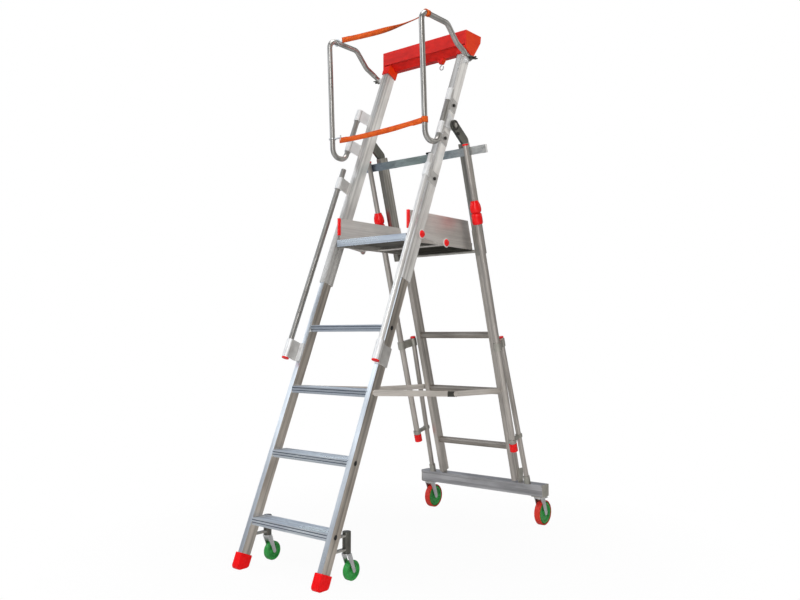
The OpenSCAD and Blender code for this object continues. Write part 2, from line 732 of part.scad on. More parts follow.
// Wheel with a dished face each side and a rounded tread
dish_share = 0.72;
dish_depth = 4;
hub_share = 0.3;
module castor_wheel(d, w, bore) rotate([90, 0, 90]) rotate_extrude() difference() {
    translate([bore / 2, -w / 2]) square([d / 2 - bore / 2, w]);
    for (s = [-1, 1]) translate([(dish_share + hub_share) * d / 4, s * w / 2])
        square([(dish_share - hub_share) * d / 2, 2 * dish_depth], center = true);
    for (s = [-1, 1]) translate([d / 2, s * w / 2]) circle(d = w / 3);
}
module front_wheel(side) on_side(side) translate([stile_x, front_castor_y + front_trail, front_axle_z])
    castor_wheel(front_wheel_d, front_wheel_w, axle_d + 2 * run_clear);
module front_wheel_left() color(green) front_wheel(-1);
module front_wheel_right() color(green) front_wheel(1);

// Rear posts, from the folding axis down to the platform
rest_d = 16;
rest_z = deck_z - deck_nose_h - seat_gap - rest_d / 2;
rest_ahead = 17;
rest_y = rear_y(rest_z) - rest_ahead / cos(rear_lean);
module rear_post(side) on_side(side) difference() {
    rear_frame() translate([post_x, -post_ahead, rear_s(post_start_z)])
        box_tube(post_w, post_d, frame_wall, rear_s(post_top_z) - rear_s(post_start_z));
    translate([0, rest_y, rest_z]) rod_x(post_x - post_w, post_x + post_w, rest_d + 2 * run_clear);
}
module rear_post_left() color(aluminium) rear_post(-1);
module rear_post_right() color(aluminium) rear_post(1);

// Cast heads in the tops of the rear posts, with the eyes that turn on the hinge pins
plug_len = 40;
head_arm_w = 52;
head_lift = 8;
module hinge_heads() color(dark_grey) both() difference() {
    union() {
        side_plate(hinge_face_x, eye_t) hull() {
            translate([hinge_y, hinge_z]) circle(d = eye_d, $fn = 32);
            translate([rear_y(post_top_z) - post_ahead / cos(rear_lean) + post_d / 2, post_top_z + head_lift])
                circle(d = head_arm_w, $fn = 32);
        }
        rear_frame() translate([post_x - post_w / 2 + frame_wall, frame_wall - post_ahead, rear_s(post_top_z) - plug_len])
            cube([post_w - 2 * frame_wall, post_d - 2 * frame_wall, plug_len]);
    }
    translate([0, hinge_y, hinge_z]) rod_x(hinge_face_x - overrun, hinge_face_x + eye_t + overrun, hinge_pin_d + 2 * run_clear);
}

// Bar across the front of the rear posts, and the tubes that it carries
knob_d = 48;
knob_h = 10;
knob_x = 82;
knob_stem_d = 8;
module rear_bar() color(dull_grey) rear_frame() difference() {
    translate([-bar_len / 2, -post_ahead - bar_t, rear_s(bar_z) - bar_h / 2]) cube([bar_len, bar_t, bar_h]);
    translate([knob_x, -post_ahead - bar_t / 2, rear_s(bar_z)])
        cylinder(d = knob_stem_d + 2 * run_clear, h = bar_h);
}
module guide_tubes() color(aluminium) both() rear_frame()
    translate([guide_x, -guide_ahead, rear_s(guide_bottom_z)])
        tube(guide_d, tube_wall, rear_s(guide_top_z) - rear_s(guide_bottom_z));
guide_cap_h = 8;
module guide_tube_caps() color(red) both() rear_frame()
    translate([guide_x, -guide_ahead, rear_s(guide_top_z)]) cylinder(d = guide_d + bracket_wall, h = guide_cap_h);
// Rod between the posts that the back of the platform rests on
module platform_rest() color(dull_grey) translate([0, rest_y, rest_z])
    rod_x(-post_x - post_w / 2, post_x + post_w / 2, rest_d);
// Flat knob on the bar, with its stem
module bar_knob() color(black) rear_frame()
    translate([knob_x, -post_ahead - bar_t / 2, rear_s(bar_z) + bar_h / 2 + seat_gap]) {
        cylinder(d = knob_d, h = knob_h);
        translate([0, 0, -bar_h / 3]) cylinder(d = knob_stem_d, h = knob_h + bar_h / 3);
    }

// Rear stiles and rungs
module rear_stile(side) on_side(side) difference() {
    rear_frame() translate([rear_x, 0, rear_s(beam_bottom_z + beam_h) + rear_d / 2 * tan(rear_lean)])
        box_tube(rear_w, rear_d, frame_wall, rear_s(rear_top_z) - rear_s(beam_bottom_z + beam_h));
    for (i = [0 : rung_count - 1]) {
        z = first_rung_z + i * rung_rise;
        translate([0, rear_y(z) + rear_d / 2 / cos(rear_lean), z]) rod_x(rear_x, rear_x + rear_w, rung_d / 2);
    }
    translate([0, stay_rear_y, stay_rear_z]) rod_x(rear_x, rear_x + rear_w, stay_pin_d + 2 * run_clear);
    translate([0, rear_y0 - beam_ahead - overrun, beam_bottom_z]) cube([beam_len / 2, beam_d + 2 * rear_d, beam_h]);
}
module rear_stile_left() color(aluminium) rear_stile(-1);
module rear_stile_right() color(aluminium) rear_stile(1);
module rungs() color(aluminium) for (i = [0 : rung_count - 1]) {
    z = first_rung_z + i * rung_rise;
    translate([-rear_x + rear_w / 2, rear_y(z) + rear_d / 2 / cos(rear_lean), z]) rotate([0, 90, 0])
        tube(rung_d, frame_wall, 2 * rear_x - rear_w);
}

// Sleeve tubes that the guide tubes slide in, with the fixed half of each clamp
collar_d = 54;
collar_h = 60;
clamp_d = 46;
clamp_h = 52;
module sleeve_tubes() color(aluminium) both() rear_frame()
    translate([guide_x, -guide_ahead, rear_s(sleeve_bottom_z)])
        tube(sleeve_d, (sleeve_d - guide_d) / 2 - seat_gap, rear_s(sleeve_top_z) - rear_s(sleeve_bottom_z));
module sleeve_clamp() translate([guide_x, -guide_ahead, rear_s(sleeve_top_z) - clamp_h]) difference() {
    cylinder(d = clamp_d, h = clamp_h);
    translate([0, 0, -overrun]) cylinder(d = sleeve_d + 2 * run_clear, h = clamp_h + 2 * overrun);
}
// Turning half of each clamp
grip_count = 10;
grip_d = 6;
module collar(side) on_side(side) rear_frame() translate([guide_x, -guide_ahead, rear_s(sleeve_top_z) + seat_gap])
    difference() {
        cylinder(d = collar_d, h = collar_h);
        translate([0, 0, -overrun]) cylinder(d = guide_d + 2 * seat_gap, h = collar_h + 2 * overrun);
        for (i = [0 : grip_count - 1]) rotate([0, 0, i * 360 / grip_count]) translate([collar_d / 2, 0, -overrun])
            cylinder(d = grip_d, h = collar_h + 2 * overrun);
    }
module collar_left() color(red) collar(-1);
module collar_right() color(red) collar(1);

// Brace tubes from the castor beam up to the sleeves
beam_top_z = beam_bottom_z + beam_h;
brace_foot_s = rear_s(beam_top_z) + brace_d;
brace_top_s = rear_s(brace_top_z);
brace_tilt = atan2(brace_foot_x - brace_top_x, brace_top_s - brace_foot_s);
brace_span = (brace_top_s - brace_foot_s) / cos(brace_tilt);
function brace_x(s) = brace_foot_x - (s - brace_foot_s) * tan(brace_tilt);
module brace_tubes() color(aluminium) both() rear_frame() translate([brace_foot_x, brace_behind, brace_foot_s])
    rotate([0, -brace_tilt, 0]) tube(brace_d, tube_wall, brace_span);

// Ties between each sleeve and its brace: one at the top of the brace and one near the foot of the sleeve
tie_h = 40;
low_tie_h = 16;
tie_w = 18;
tie_wall = 5;
sleeve_foot_s = rear_s(sleeve_bottom_z);
module tube_tie(s, h) difference() {
    union() {
        translate([guide_x, -guide_ahead, s]) cylinder(d = sleeve_d + 2 * tie_wall, h = h);
        translate([brace_x(s + h / 2), brace_behind, s]) cylinder(d = brace_d + 2 * tie_wall, h = h);
        translate([guide_x, -guide_ahead, s]) linear_extrude(h) polygon([
            [-tie_w / 2, 0], [tie_w / 2, 0],
            [brace_x(s) - guide_x + tie_w / 2, guide_ahead + brace_behind],
            [brace_x(s) - guide_x - tie_w / 2, guide_ahead + brace_behind]]);
    }
    translate([guide_x, -guide_ahead, sleeve_foot_s])
        cylinder(d = sleeve_d + 2 * run_clear, h = rear_s(sleeve_top_z) - sleeve_foot_s);
    translate([brace_foot_x, brace_behind, brace_foot_s]) rotate([0, -brace_tilt, 0])
        cylinder(d = brace_d + 2 * run_clear, h = brace_span);
}
// Red caps on the feet of the sleeves and on the tops of the braces
brace_cap_h = 8;
cap_gap = 2;
module sleeve_cap() translate([guide_x, -guide_ahead, sleeve_foot_s]) difference() {
    translate([0, 0, -tie_wall]) cylinder(d = sleeve_d + 2 * tie_wall, h = tie_h);
    cylinder(d = sleeve_d + 2 * run_clear, h = tie_h);
}
module brace_cap() translate([brace_foot_x, brace_behind, brace_foot_s]) rotate([0, -brace_tilt, 0])
    translate([0, 0, brace_span]) cylinder(d = brace_d + bracket_wall, h = brace_cap_h);
module tube_clamps() color(red) both() rear_frame() {
    sleeve_cap();
    brace_cap();
    sleeve_clamp();
}

// Castor beam with a ledge along its top
ledge_w = 8;
ledge_h = 12;
module castor_beam() color(aluminium) translate([0, rear_y0 - beam_ahead, beam_bottom_z])
    side_plate(-beam_len / 2, beam_len) difference() {
        union() {
            square([beam_d, beam_h]);
            translate([-ledge_w, beam_h - ledge_h]) square([ledge_w, ledge_h]);
        }
        translate([beam_wall, beam_wall]) square([beam_d - 2 * beam_wall, beam_h - 2 * beam_wall]);
    }
// Brackets that hold the legs on the beam, end plates, ties, and the plates and king pins of the castors
cheek_t = 4;
cheek_h = 70;
cheek_w = 46;
plate_w = 62;
beam_front_y = rear_y0 - beam_ahead;
module beam_fittings() color(dull_grey) both() {
    // cheeks beside the rear stiles
    translate([0, 0, beam_top_z]) translate([rear_x + rear_w / 2, beam_front_y, 0]) cube([cheek_t, cheek_w, cheek_h]);
    // foot sockets of the braces
    rear_frame() difference() {
        translate([brace_foot_x, brace_behind, rear_s(beam_top_z)]) rotate([0, -brace_tilt, 0])
            translate([0, 0, -brace_d / 2]) cylinder(d = brace_d + 2 * cheek_t, h = 2 * brace_d);
        translate([brace_foot_x, brace_behind, brace_foot_s]) rotate([0, -brace_tilt, 0])
            cylinder(d = brace_d + 2 * run_clear, h = brace_span);
        translate([0, 0, rear_s(beam_top_z)]) rotate([-rear_lean, 0, 0])
            translate([0, -beam_d * 2, -beam_h * 2]) cube([beam_len, beam_d * 4, beam_h * 2]);
    }
    // ties of the sleeves and braces
    rear_frame() {
        tube_tie(brace_top_s - tie_h - cap_gap, tie_h);
        tube_tie(sleeve_foot_s + tie_h, low_tie_h);
    }
    // end plate of the beam
    translate([beam_len / 2, beam_front_y, beam_bottom_z]) cube([cheek_t, beam_d, beam_h]);
    // castor plate and king pin
    translate([rear_castor_x, beam_mid_y, beam_bottom_z - plate_t]) {
        translate([-plate_w / 2, -plate_w / 2, 0]) cube([plate_w, plate_w, plate_t]);
        translate([0, 0, -head_t - seat_gap]) cylinder(d = king_d, h = head_t + seat_gap);
    }
}

// Rear castors
rear_axle_z = rear_wheel_d / 2;
rear_leg_w = 34;
rear_axle_d = 12;
crown_top_z = beam_bottom_z - plate_t - seat_gap;
pedal_pin_d = 6;
pedal_pin_y = 6;
pedal_drop = 7;
pedal_z = crown_top_z - head_t - pedal_drop;
module rear_fork(side) on_side(side) translate([rear_castor_x, beam_mid_y, 0]) {
    gap = rear_wheel_w / 2 + wheel_gap;
    difference() {
        union() {
            translate([0, 0, crown_top_z - head_t]) cylinder(d = head_d, h = head_t);
            for (s = [-1, 1]) side_plate(s * (gap + leg_t / 2) - leg_t / 2, leg_t) hull() {
                translate([-rear_leg_w / 2, crown_top_z - head_t]) square([rear_leg_w, head_t]);
                translate([rear_trail, rear_axle_z]) circle(d = 2 * rear_axle_d, $fn = 32);
            }
            translate([0, rear_trail, rear_axle_z]) rod_x(-gap - leg_t, gap + leg_t, rear_axle_d);
            translate([0, pedal_pin_y, pedal_z]) rod_x(-gap - leg_t, gap + leg_t, pedal_pin_d);
        }
        translate([0, 0, crown_top_z - head_t - overrun]) cylinder(d = king_d + 2 * run_clear, h = head_t + 2 * overrun);
    }
}
module rear_fork_left() color(steel) rear_fork(-1);
module rear_fork_right() color(steel) rear_fork(1);
module rear_wheel_at(side) on_side(side) translate([rear_castor_x, beam_mid_y + rear_trail, rear_axle_z]) children();
core_d = rear_wheel_d - 2 * tyre_t;
module rear_wheel_left() color(green) rear_wheel_at(-1) castor_wheel(core_d, rear_wheel_w, rear_axle_d + 2 * run_clear);
module rear_wheel_right() color(green) rear_wheel_at(1) castor_wheel(core_d, rear_wheel_w, rear_axle_d + 2 * run_clear);
// Tread bonded round the wheel, with rounded shoulders
module rear_tyre() rotate([90, 0, 90]) rotate_extrude() difference() {
    translate([core_d / 2, -rear_wheel_w / 2]) square([tyre_t, rear_wheel_w]);
    for (s = [-1, 1]) translate([rear_wheel_d / 2, s * rear_wheel_w / 2]) circle(d = tyre_t);
}
module rear_tyre_left() color(red) rear_wheel_at(-1) rear_tyre();
module rear_tyre_right() color(red) rear_wheel_at(1) rear_tyre();
// Brake pedal on a pin between the legs of the fork
pedal_w = 30;
pedal_len = 52;
pedal_t = 4;
pedal_hub_d = 12;
module brake_pedal(side) on_side(side) translate([rear_castor_x, beam_mid_y + pedal_pin_y, pedal_z]) difference() {
    union() {
        rod_x(-pedal_w / 2, pedal_w / 2, pedal_hub_d);
        translate([-pedal_w / 2, 0, pedal_hub_d / 2 - pedal_t]) cube([pedal_w, pedal_len, pedal_t]);
    }
    rod_x(-pedal_w, pedal_w, pedal_pin_d + 2 * run_clear);
}
module brake_pedal_left() color(dull_grey) brake_pedal(-1);
module brake_pedal_right() color(dull_grey) brake_pedal(1);

// Platform: deck with a nose and a back channel, toe-boards and the links it turns on
toe_gap = 4;
deck_ahead = 54;
toe_x = upper_in_x - toe_t - toe_gap;
deck_front_y = pivot_y - deck_ahead;
deck_back_y = deck_front_y + deck_len;
deck_t = 8;
deck_edge_d = 25;
deck_wall = 2.5;
deck_groove_pitch = 26;
deck_groove_w = 6;
deck_groove_h = 2;
module deck_outline() difference() {
    union() {
        translate([0, -deck_t]) square([deck_len, deck_t]);
        for (y = [0, deck_len - deck_edge_d]) translate([y, -deck_nose_h]) square([deck_edge_d, deck_nose_h]);
    }
    for (y = [0, deck_len - deck_edge_d]) translate([y + deck_wall, deck_wall - deck_nose_h])
        square([deck_edge_d - 2 * deck_wall, deck_nose_h - deck_t - deck_wall]);
    for (y = [deck_edge_d : deck_groove_pitch : deck_len - deck_edge_d]) translate([y, -deck_groove_h])
        square([deck_groove_w, deck_groove_h + overrun]);
}
module deck() color(aluminium) translate([0, deck_front_y, deck_z]) side_plate(-toe_x, 2 * toe_x) deck_outline();
toe_front = 22;
toe_back_cut = 40;
trim_w = 12;
under_rod_d = 12;
under_rod_share = 0.62;
module toe_outline() polygon([[toe_front, -deck_nose_h], [toe_front, toe_h], [deck_len - toe_back_cut, toe_h],
                              [deck_len, -deck_nose_h]]);
module toe_boards() color(aluminium) both() translate([0, deck_front_y, deck_z]) side_plate(toe_x, toe_t) toe_outline();
// Red plastic edges of the toe-boards, and the red heads of the link pins
trim_low = 24;
module platform_trims() color(red) both() {
    translate([0, deck_front_y, deck_z]) side_plate(toe_x - trim_w / 2, trim_w)
        translate([toe_front - trim_w, trim_low]) square([trim_w, toe_h - trim_low]);
    translate([0, pivot_y + link_span, pivot_z - link_drop]) rod_x(link_x + link_t, link_x + link_t + button_t, button_d);
}
// Side links outside the stiles, and the spacers that tie them to the toe-boards
module platform_links() color(dull_grey) both() {
    difference() {
        side_plate(link_x, link_t) hull() {
            translate([pivot_y, pivot_z]) circle(d = link_w, $fn = 32);
            translate([pivot_y + link_span, pivot_z - link_drop]) circle(d = link_w, $fn = 32);
        }
        translate([0, pivot_y, pivot_z]) rod_x(link_x - overrun, link_x + link_t + overrun, pin_d + 2 * run_clear);
    }
    translate([0, pivot_y + link_span, pivot_z - link_drop]) rod_x(toe_x + toe_t, link_x, pin_d);
    // half of the rod that ties the toe-boards under the deck
    translate([0, deck_front_y + deck_len * under_rod_share, deck_z - deck_nose_h + under_rod_d]) rod_x(0, toe_x, under_rod_d);
}

// Folding stays: front links outside the stiles, rear links outside the front ones
stay_rear_x = stay_x + stay_t + seat_gap;
module stay_link(p, q, x) side_plate(x, stay_t) hull() {
    translate(p) circle(d = stay_w, $fn = 32);
    translate(q) circle(d = stay_w, $fn = 32);
}
module stay_front_links() color(aluminium) both() {
    stay_link([stay_front_y, stay_front_z], [stay_mid_y, stay_mid_z], stay_x);
    translate([0, stay_front_y, stay_front_z]) rod_x(stay_x - seat_gap - stile_wall, stay_x, stay_pin_d);
}
module stay_rear_links() color(aluminium) both() {
    stay_link([stay_mid_y, stay_mid_z], [stay_rear_y, stay_rear_z], stay_rear_x);
    translate([0, stay_rear_y, stay_rear_z]) rod_x(rear_x + rear_w / 2 - frame_wall, stay_rear_x, stay_pin_d);
    translate([0, stay_mid_y, stay_mid_z]) rod_x(stay_rear_x + stay_t, stay_rear_x + 2 * stay_t, stay_w - 2 * stay_t);
}

upper_stile_left();
upper_stile_right();
fruit_tray();
tray_hook();
handrails();
guard_loop_left();
guard_loop_right();
tube_brackets();
rail_end_caps();
bracket_bolts();
strap_upper();
strap_lower();
strap_hooks();
hinge_plates();
hinge_pins();
platform_pins();
wing_nut_left();
wing_nut_right();
lower_stile_left();
lower_stile_right();
treads();
front_feet();
castor_sockets();
socket_brackets();
front_fork_left();
front_fork_right();
front_wheel_left();
front_wheel_right();
rear_post_left();
rear_post_right();
hinge_heads();
rear_bar();
guide_tubes();
guide_tube_caps();
platform_rest();
bar_knob();
rear_stile_left();
rear_stile_right();
rungs();
sleeve_tubes();
brace_tubes();
tube_clamps();
collar_left();
collar_right();
castor_beam();
beam_fittings();
rear_fork_left();
rear_fork_right();
rear_wheel_left();
rear_wheel_right();
rear_tyre_left();
rear_tyre_right();
brake_pedal_left();
brake_pedal_right();
deck();
toe_boards();
platform_trims();
platform_links();
stay_front_links();
stay_rear_links();
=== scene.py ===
# %% [markdown]
# An orchard picking ladder: a telescopic front ladder, a folding rear frame on castors, a guarded
# standing platform and a red fruit tray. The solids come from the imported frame, already in metres.
# This lesson keeps them where they are and dresses them: rounded edges, drawn metal, moulded plastic,
# webbing and small fixings.

# %% Load the frame
import bpy
import bmesh
import json
import math
from mathutils import Matrix, Vector


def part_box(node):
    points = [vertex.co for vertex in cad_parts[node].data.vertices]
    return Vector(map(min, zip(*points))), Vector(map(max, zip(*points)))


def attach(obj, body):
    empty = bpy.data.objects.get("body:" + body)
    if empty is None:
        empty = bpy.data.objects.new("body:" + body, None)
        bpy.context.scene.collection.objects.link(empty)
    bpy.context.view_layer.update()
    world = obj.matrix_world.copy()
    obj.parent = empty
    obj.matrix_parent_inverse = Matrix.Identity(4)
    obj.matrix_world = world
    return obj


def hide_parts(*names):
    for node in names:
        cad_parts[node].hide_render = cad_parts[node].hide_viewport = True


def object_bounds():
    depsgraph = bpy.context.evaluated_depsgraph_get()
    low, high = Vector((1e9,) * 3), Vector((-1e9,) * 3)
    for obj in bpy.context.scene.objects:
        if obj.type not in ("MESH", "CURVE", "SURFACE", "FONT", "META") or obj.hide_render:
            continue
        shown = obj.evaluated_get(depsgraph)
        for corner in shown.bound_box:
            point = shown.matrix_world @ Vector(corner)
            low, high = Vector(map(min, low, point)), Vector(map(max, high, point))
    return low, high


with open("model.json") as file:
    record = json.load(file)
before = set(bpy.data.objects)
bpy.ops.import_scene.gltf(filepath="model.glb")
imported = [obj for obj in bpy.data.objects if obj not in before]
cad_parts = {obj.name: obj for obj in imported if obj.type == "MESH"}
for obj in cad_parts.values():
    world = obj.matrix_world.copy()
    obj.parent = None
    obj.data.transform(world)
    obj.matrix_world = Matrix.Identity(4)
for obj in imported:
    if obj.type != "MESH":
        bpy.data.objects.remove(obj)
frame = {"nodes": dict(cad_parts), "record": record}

MM = 0.001
SIDES = (("left", -1), ("right", 1))
scene = bpy.context.scene
nodes = frame["nodes"]
cad_low, cad_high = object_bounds()
body_of_node = {n: b for b, ns in frame["record"]["behaviour"]["bodies"].items() for n in ns}
print("nodes", len(nodes), "box", [round(v, 3) for v in cad_low], [round(v, 3) for v in cad_high])

# %% [markdown]
# The photograph was taken from the front right, a little below the middle of the ladder. A camera that
# was fitted to the treads, stiles and castors gives its place, turn and lens. A camera that is placed by
# eye would do for a first look, but no part could then be compared with the photograph.

# %% Camera
SENSOR_MM, LENS_MM = 36.0, 36.243
CAMERA_PLACE = (2.4347, -2.9519, 0.9657)
CAMERA_TILT, CAMERA_TURN = math.radians(90 + 2.53), 0.6894

cam_data = bpy.data.cameras.new("photo_camera")
cam_data.sensor_width = SENSOR_MM
cam_data.lens = LENS_MM
camera = bpy.data.objects.new("photo_camera", cam_data)
camera.location = CAMERA_PLACE
camera.rotation_euler = (CAMERA_TILT, 0.0, CAMERA_TURN)
scene.collection.objects.link(camera)
bpy.context.scene.camera = camera
print("camera at", tuple(round(v, 3) for v in camera.location))

# %% [markdown]
# Shader nodes are joined by hand in a script, so the joins that come up again and again get a helper:
# arithmetic, a mix of two shaders, a colour ramp and a change of range. The last helper says how much of the
# white studio a ray sees: all of it from the camera, and a tenth in a mirror, so that metal shows it too.

# %% Node helpers
MIRROR_SHARE = 0.10
WHITE = (1, 1, 1)


def math_node(tree, operation, first, second):
    node = tree.nodes.new("ShaderNodeMath")
    node.operation = operation
    for socket, value in zip(node.inputs, (first, second)):
        if isinstance(value, float):
            socket.default_value = value
        else:
            tree.links.new(value, socket)
    return node.outputs[0]


def mix_shaders(tree, share, first, second):
    node = tree.nodes.new("ShaderNodeMixShader")
    tree.links.new(share, node.inputs["Fac"])
    tree.links.new(first, node.inputs[1])
    tree.links.new(second, node.inputs[2])
    return node.outputs[0]


def ramp(tree, value, stops):
    node = tree.nodes.new("ShaderNodeValToRGB")
    ends = node.color_ramp.elements
    for element, (at, colour) in ((ends[0], stops[0]), (ends[1], stops[-1])):
        element.position = at
        element.color = (*colour, 1)
    for at, colour in stops[1:-1]:
        ends.new(at).color = (*colour, 1)
    tree.links.new(value, node.inputs["Fac"])
    return node.outputs["Color"]


def spread(tree, value, low, high, from_low=0.3, from_high=0.7):
    node = tree.nodes.new("ShaderNodeMapRange")
    node.inputs["From Min"].default_value = from_low
    node.inputs["From Max"].default_value = from_high
    node.inputs["To Min"].default_value = low
    node.inputs["To Max"].default_value = high
    tree.links.new(value, node.inputs["Value"])
    return node.outputs["Result"]


def seen_share(tree):
    rays = tree.nodes.new("ShaderNodeLightPath").outputs
    mirrored = math_node(tree, "MAXIMUM", rays["Is Glossy Ray"], rays["Is Transmission Ray"])
    weak = math_node(tree, "MULTIPLY", mirrored, MIRROR_SHARE)
    return math_node(tree, "MAXIMUM", rays["Is Camera Ray"], weak)


print("a mirror sees", MIRROR_SHARE, "of the white sweep")

# %% [markdown]
# The studio is a white sweep. The camera sees it as plain white. Polished metal shows what stands round
# it, so the room it mirrors is a mid grey, cooler at the left and warmer at the right. Tubes then get a
# bright line between darker edges. In a room that is white all round, metal would look like paper.

# %% Room
ROOM_TONES = [(0.0, (0.34, 0.365, 0.41)), (0.55, (0.13, 0.127, 0.124)), (1.0, (0.22, 0.20, 0.175))]

scene.view_settings.view_transform = "Standard"
world = bpy.data.worlds.new("studio")
scene.world = world
world.use_nodes = True
room = world.node_tree
room.nodes.clear()
ray_way = room.nodes.new("ShaderNodeSeparateXYZ")
room.links.new(room.nodes.new("ShaderNodeTexCoord").outputs["Generated"], ray_way.inputs[0])
left_to_right = spread(room, ray_way.outputs["X"], 0.0, 1.0, -1.0, 1.0)
room_light = room.nodes.new("ShaderNodeBackground")
room.links.new(ramp(room, left_to_right, ROOM_TONES), room_light.inputs["Color"])
white_sweep = room.nodes.new("ShaderNodeBackground")
white_sweep.inputs["Color"].default_value = (*WHITE, 1)
room_end = room.nodes.new("ShaderNodeOutputWorld")
room_mix = mix_shaders(room, seen_share(room), room_light.outputs[0], white_sweep.outputs[0])
room.links.new(room_mix, room_end.inputs["Surface"])
print("room tones", len(ROOM_TONES))

# %% [markdown]
# The lamps are soft boxes that all look at the ladder's middle line: a broad one high at the front left,
# a tall strip beside the camera, one overhead and a faint one behind. Two fill lamps brighten plastic and
# webbing, and the metal doesn't mirror them. A sun lamp would give metal one hard spark, where a soft box
# gives it a broad highlight. A box's power grows with its area, so that its radiance is what is written.

# %% Soft boxes
def soft_box(name, place, aim_height, size, radiance, colour=WHITE, mirrored=True):
    data = bpy.data.lights.new(name, "AREA")
    data.shape = "RECTANGLE"
    data.size, data.size_y = size
    data.energy = radiance * math.pi * size[0] * size[1]
    data.color = colour
    lamp = bpy.data.objects.new(name, data)
    lamp.location = place
    aim = Vector((0, 0, aim_height)) - Vector(place)
    lamp.rotation_euler = aim.to_track_quat("-Z", "Y").to_euler()
    lamp.visible_glossy = mirrored
    scene.collection.objects.link(lamp)


soft_box("front_box", (-3.3, -2.9, 3.6), 1.2, (3.2, 3.2), 1.0, (0.93, 0.97, 1.0))
soft_box("camera_strip", (2.1, -3.7, 2.5), 1.4, (1.3, 4.8), 3.2)
soft_box("fill_box", (3.4, -3.2, 2.6), 1.2, (2.4, 2.4), 3.9, mirrored=False)
soft_box("front_fill", (-2.8, -3.6, 2.8), 1.2, (2.4, 2.4), 2.1, mirrored=False)
soft_box("top_box", (0.2, 0.2, 5.4), 1.0, (2.8, 2.8), 2.6, (1.0, 0.99, 0.97))
soft_box("side_box", (3.2, 3.9, 3.3), 1.8, (3.0, 1.8), 0.75, (1.0, 0.98, 0.95))
print("soft boxes", len(bpy.data.lights))

# %% [markdown]
# The floor keeps a faint shadow close to the ladder, which fades out to white. A shadow catcher would need
# a compositor, so the floor is a plain disc whose material does this. Camera rays pass through its white
# share to the white sweep behind it, so that legs that are drawn out below the floor stay in sight.

# %% Floor
FLOOR_RADIUS, FLOOR_GAP = 14.0, 0.0005
SHADOW_FROM, SHADOW_TO = 0.5, 1.6
WHITE_NEAR_LADDER = 0.955

floor_bm = bmesh.new()
bmesh.ops.create_circle(floor_bm, cap_ends=True, segments=64, radius=FLOOR_RADIUS)
floor_mesh = bpy.data.meshes.new("floor")
floor_bm.to_mesh(floor_mesh)
floor_bm.free()
floor = bpy.data.objects.new("floor", floor_mesh)
floor.location.z = cad_low.z - FLOOR_GAP
scene.collection.objects.link(floor)

floor_mat = bpy.data.materials.new("pale_floor")
floor_mat.use_nodes = True
tree = floor_mat.node_tree
tree.nodes.clear()
from_middle = tree.nodes.new("ShaderNodeVectorMath")
from_middle.operation = "LENGTH"
tree.links.new(tree.nodes.new("ShaderNodeTexCoord").outputs["Object"], from_middle.inputs[0])
fade = spread(tree, from_middle.outputs["Value"], WHITE_NEAR_LADDER, 1.0, SHADOW_FROM, SHADOW_TO)
shaded = tree.nodes.new("ShaderNodeBsdfDiffuse")
shaded.inputs["Color"].default_value = (0.74, 0.73, 0.71, 1)
glow = tree.nodes.new("ShaderNodeEmission")
glow.inputs["Color"].default_value = (*WHITE, 1)
clear = tree.nodes.new("ShaderNodeBsdfTransparent")
rays = tree.nodes.new("ShaderNodeLightPath").outputs
white_part = mix_shaders(tree, rays["Is Camera Ray"], glow.outputs[0], clear.outputs[0])
white_share = math_node(tree, "MULTIPLY", fade, seen_share(tree))
floor_end = tree.nodes.new("ShaderNodeOutputMaterial")
tree.links.new(mix_shaders(tree, white_share, shaded.outputs[0], white_part), floor_end.inputs["Surface"])
floor_mesh.materials.append(floor_mat)
print("floor at", round(floor.location.z, 4))

# %% [markdown]
# Every finish starts from a Principled shader and noise on Object coordinates. Image textures would need
# files and a UV map on every solid, and noise needs neither. Drawn metal has noise that is stretched along
# a leaning section. A Mapping node scales before it turns, so a first node stands the section upright and
# a second one stretches.

# %% Pattern helpers
def finish(name):
    mat = bpy.data.materials.new(name)
    mat.use_nodes = True
    return mat, mat.node_tree, mat.node_tree.nodes["Principled BSDF"]


def pattern(tree, scale, turn=(0, 0, 0)):
    vector = tree.nodes.new("ShaderNodeTexCoord").outputs["Object"]
    if any(turn):
        upright = tree.nodes.new("ShaderNodeMapping")
        upright.inputs["Rotation"].default_value = turn
        tree.links.new(vector, upright.inputs["Vector"])
        vector = upright.outputs["Vector"]
    stretch = tree.nodes.new("ShaderNodeMapping")
    stretch.inputs["Scale"].default_value = scale
    tree.links.new(vector, stretch.inputs["Vector"])
    return stretch.outputs["Vector"]


def noise(tree, vector, detail=3.0, rough=0.55):
    node = tree.nodes.new("ShaderNodeTexNoise")
    node.inputs["Scale"].default_value = 1.0
    node.inputs["Detail"].default_value = detail
    node.inputs["Roughness"].default_value = rough
    tree.links.new(vector, node.inputs["Vector"])
    return node.outputs["Fac"]


def multiply(tree, a, b, amount=1.0):
    node = tree.nodes.new("ShaderNodeMix")
    node.data_type = "RGBA"
    node.blend_type = "MULTIPLY"
    node.inputs["Factor"].default_value = amount
    tree.links.new(a, node.inputs["A"])
    tree.links.new(b, node.inputs["B"])
    return node.outputs["Result"]


def bump(tree, shader, height, strength, distance):
    node = tree.nodes.new("ShaderNodeBump")
    node.inputs["Strength"].default_value = strength
    node.inputs["Distance"].default_value = distance
    tree.links.new(height, node.inputs["Height"])
    tree.links.new(node.outputs["Normal"], shader.inputs["Normal"])


def grey(level):
    return (level, level, level)


print("materials so far", len(bpy.data.materials))

# %% [markdown]
# Drawn aluminium has fine lines along the length of the section, cloudy patches of handling and a few
# darker streaks. An anisotropic shader would draw out the highlights but put no lines in the colour, so
# stretched noise is used. The front ladder leans one way and the rear frame the other, so each has its own
# turn of the pattern. Dull, oxidised sections are only partly metallic, because they scatter light as
# chalk does.

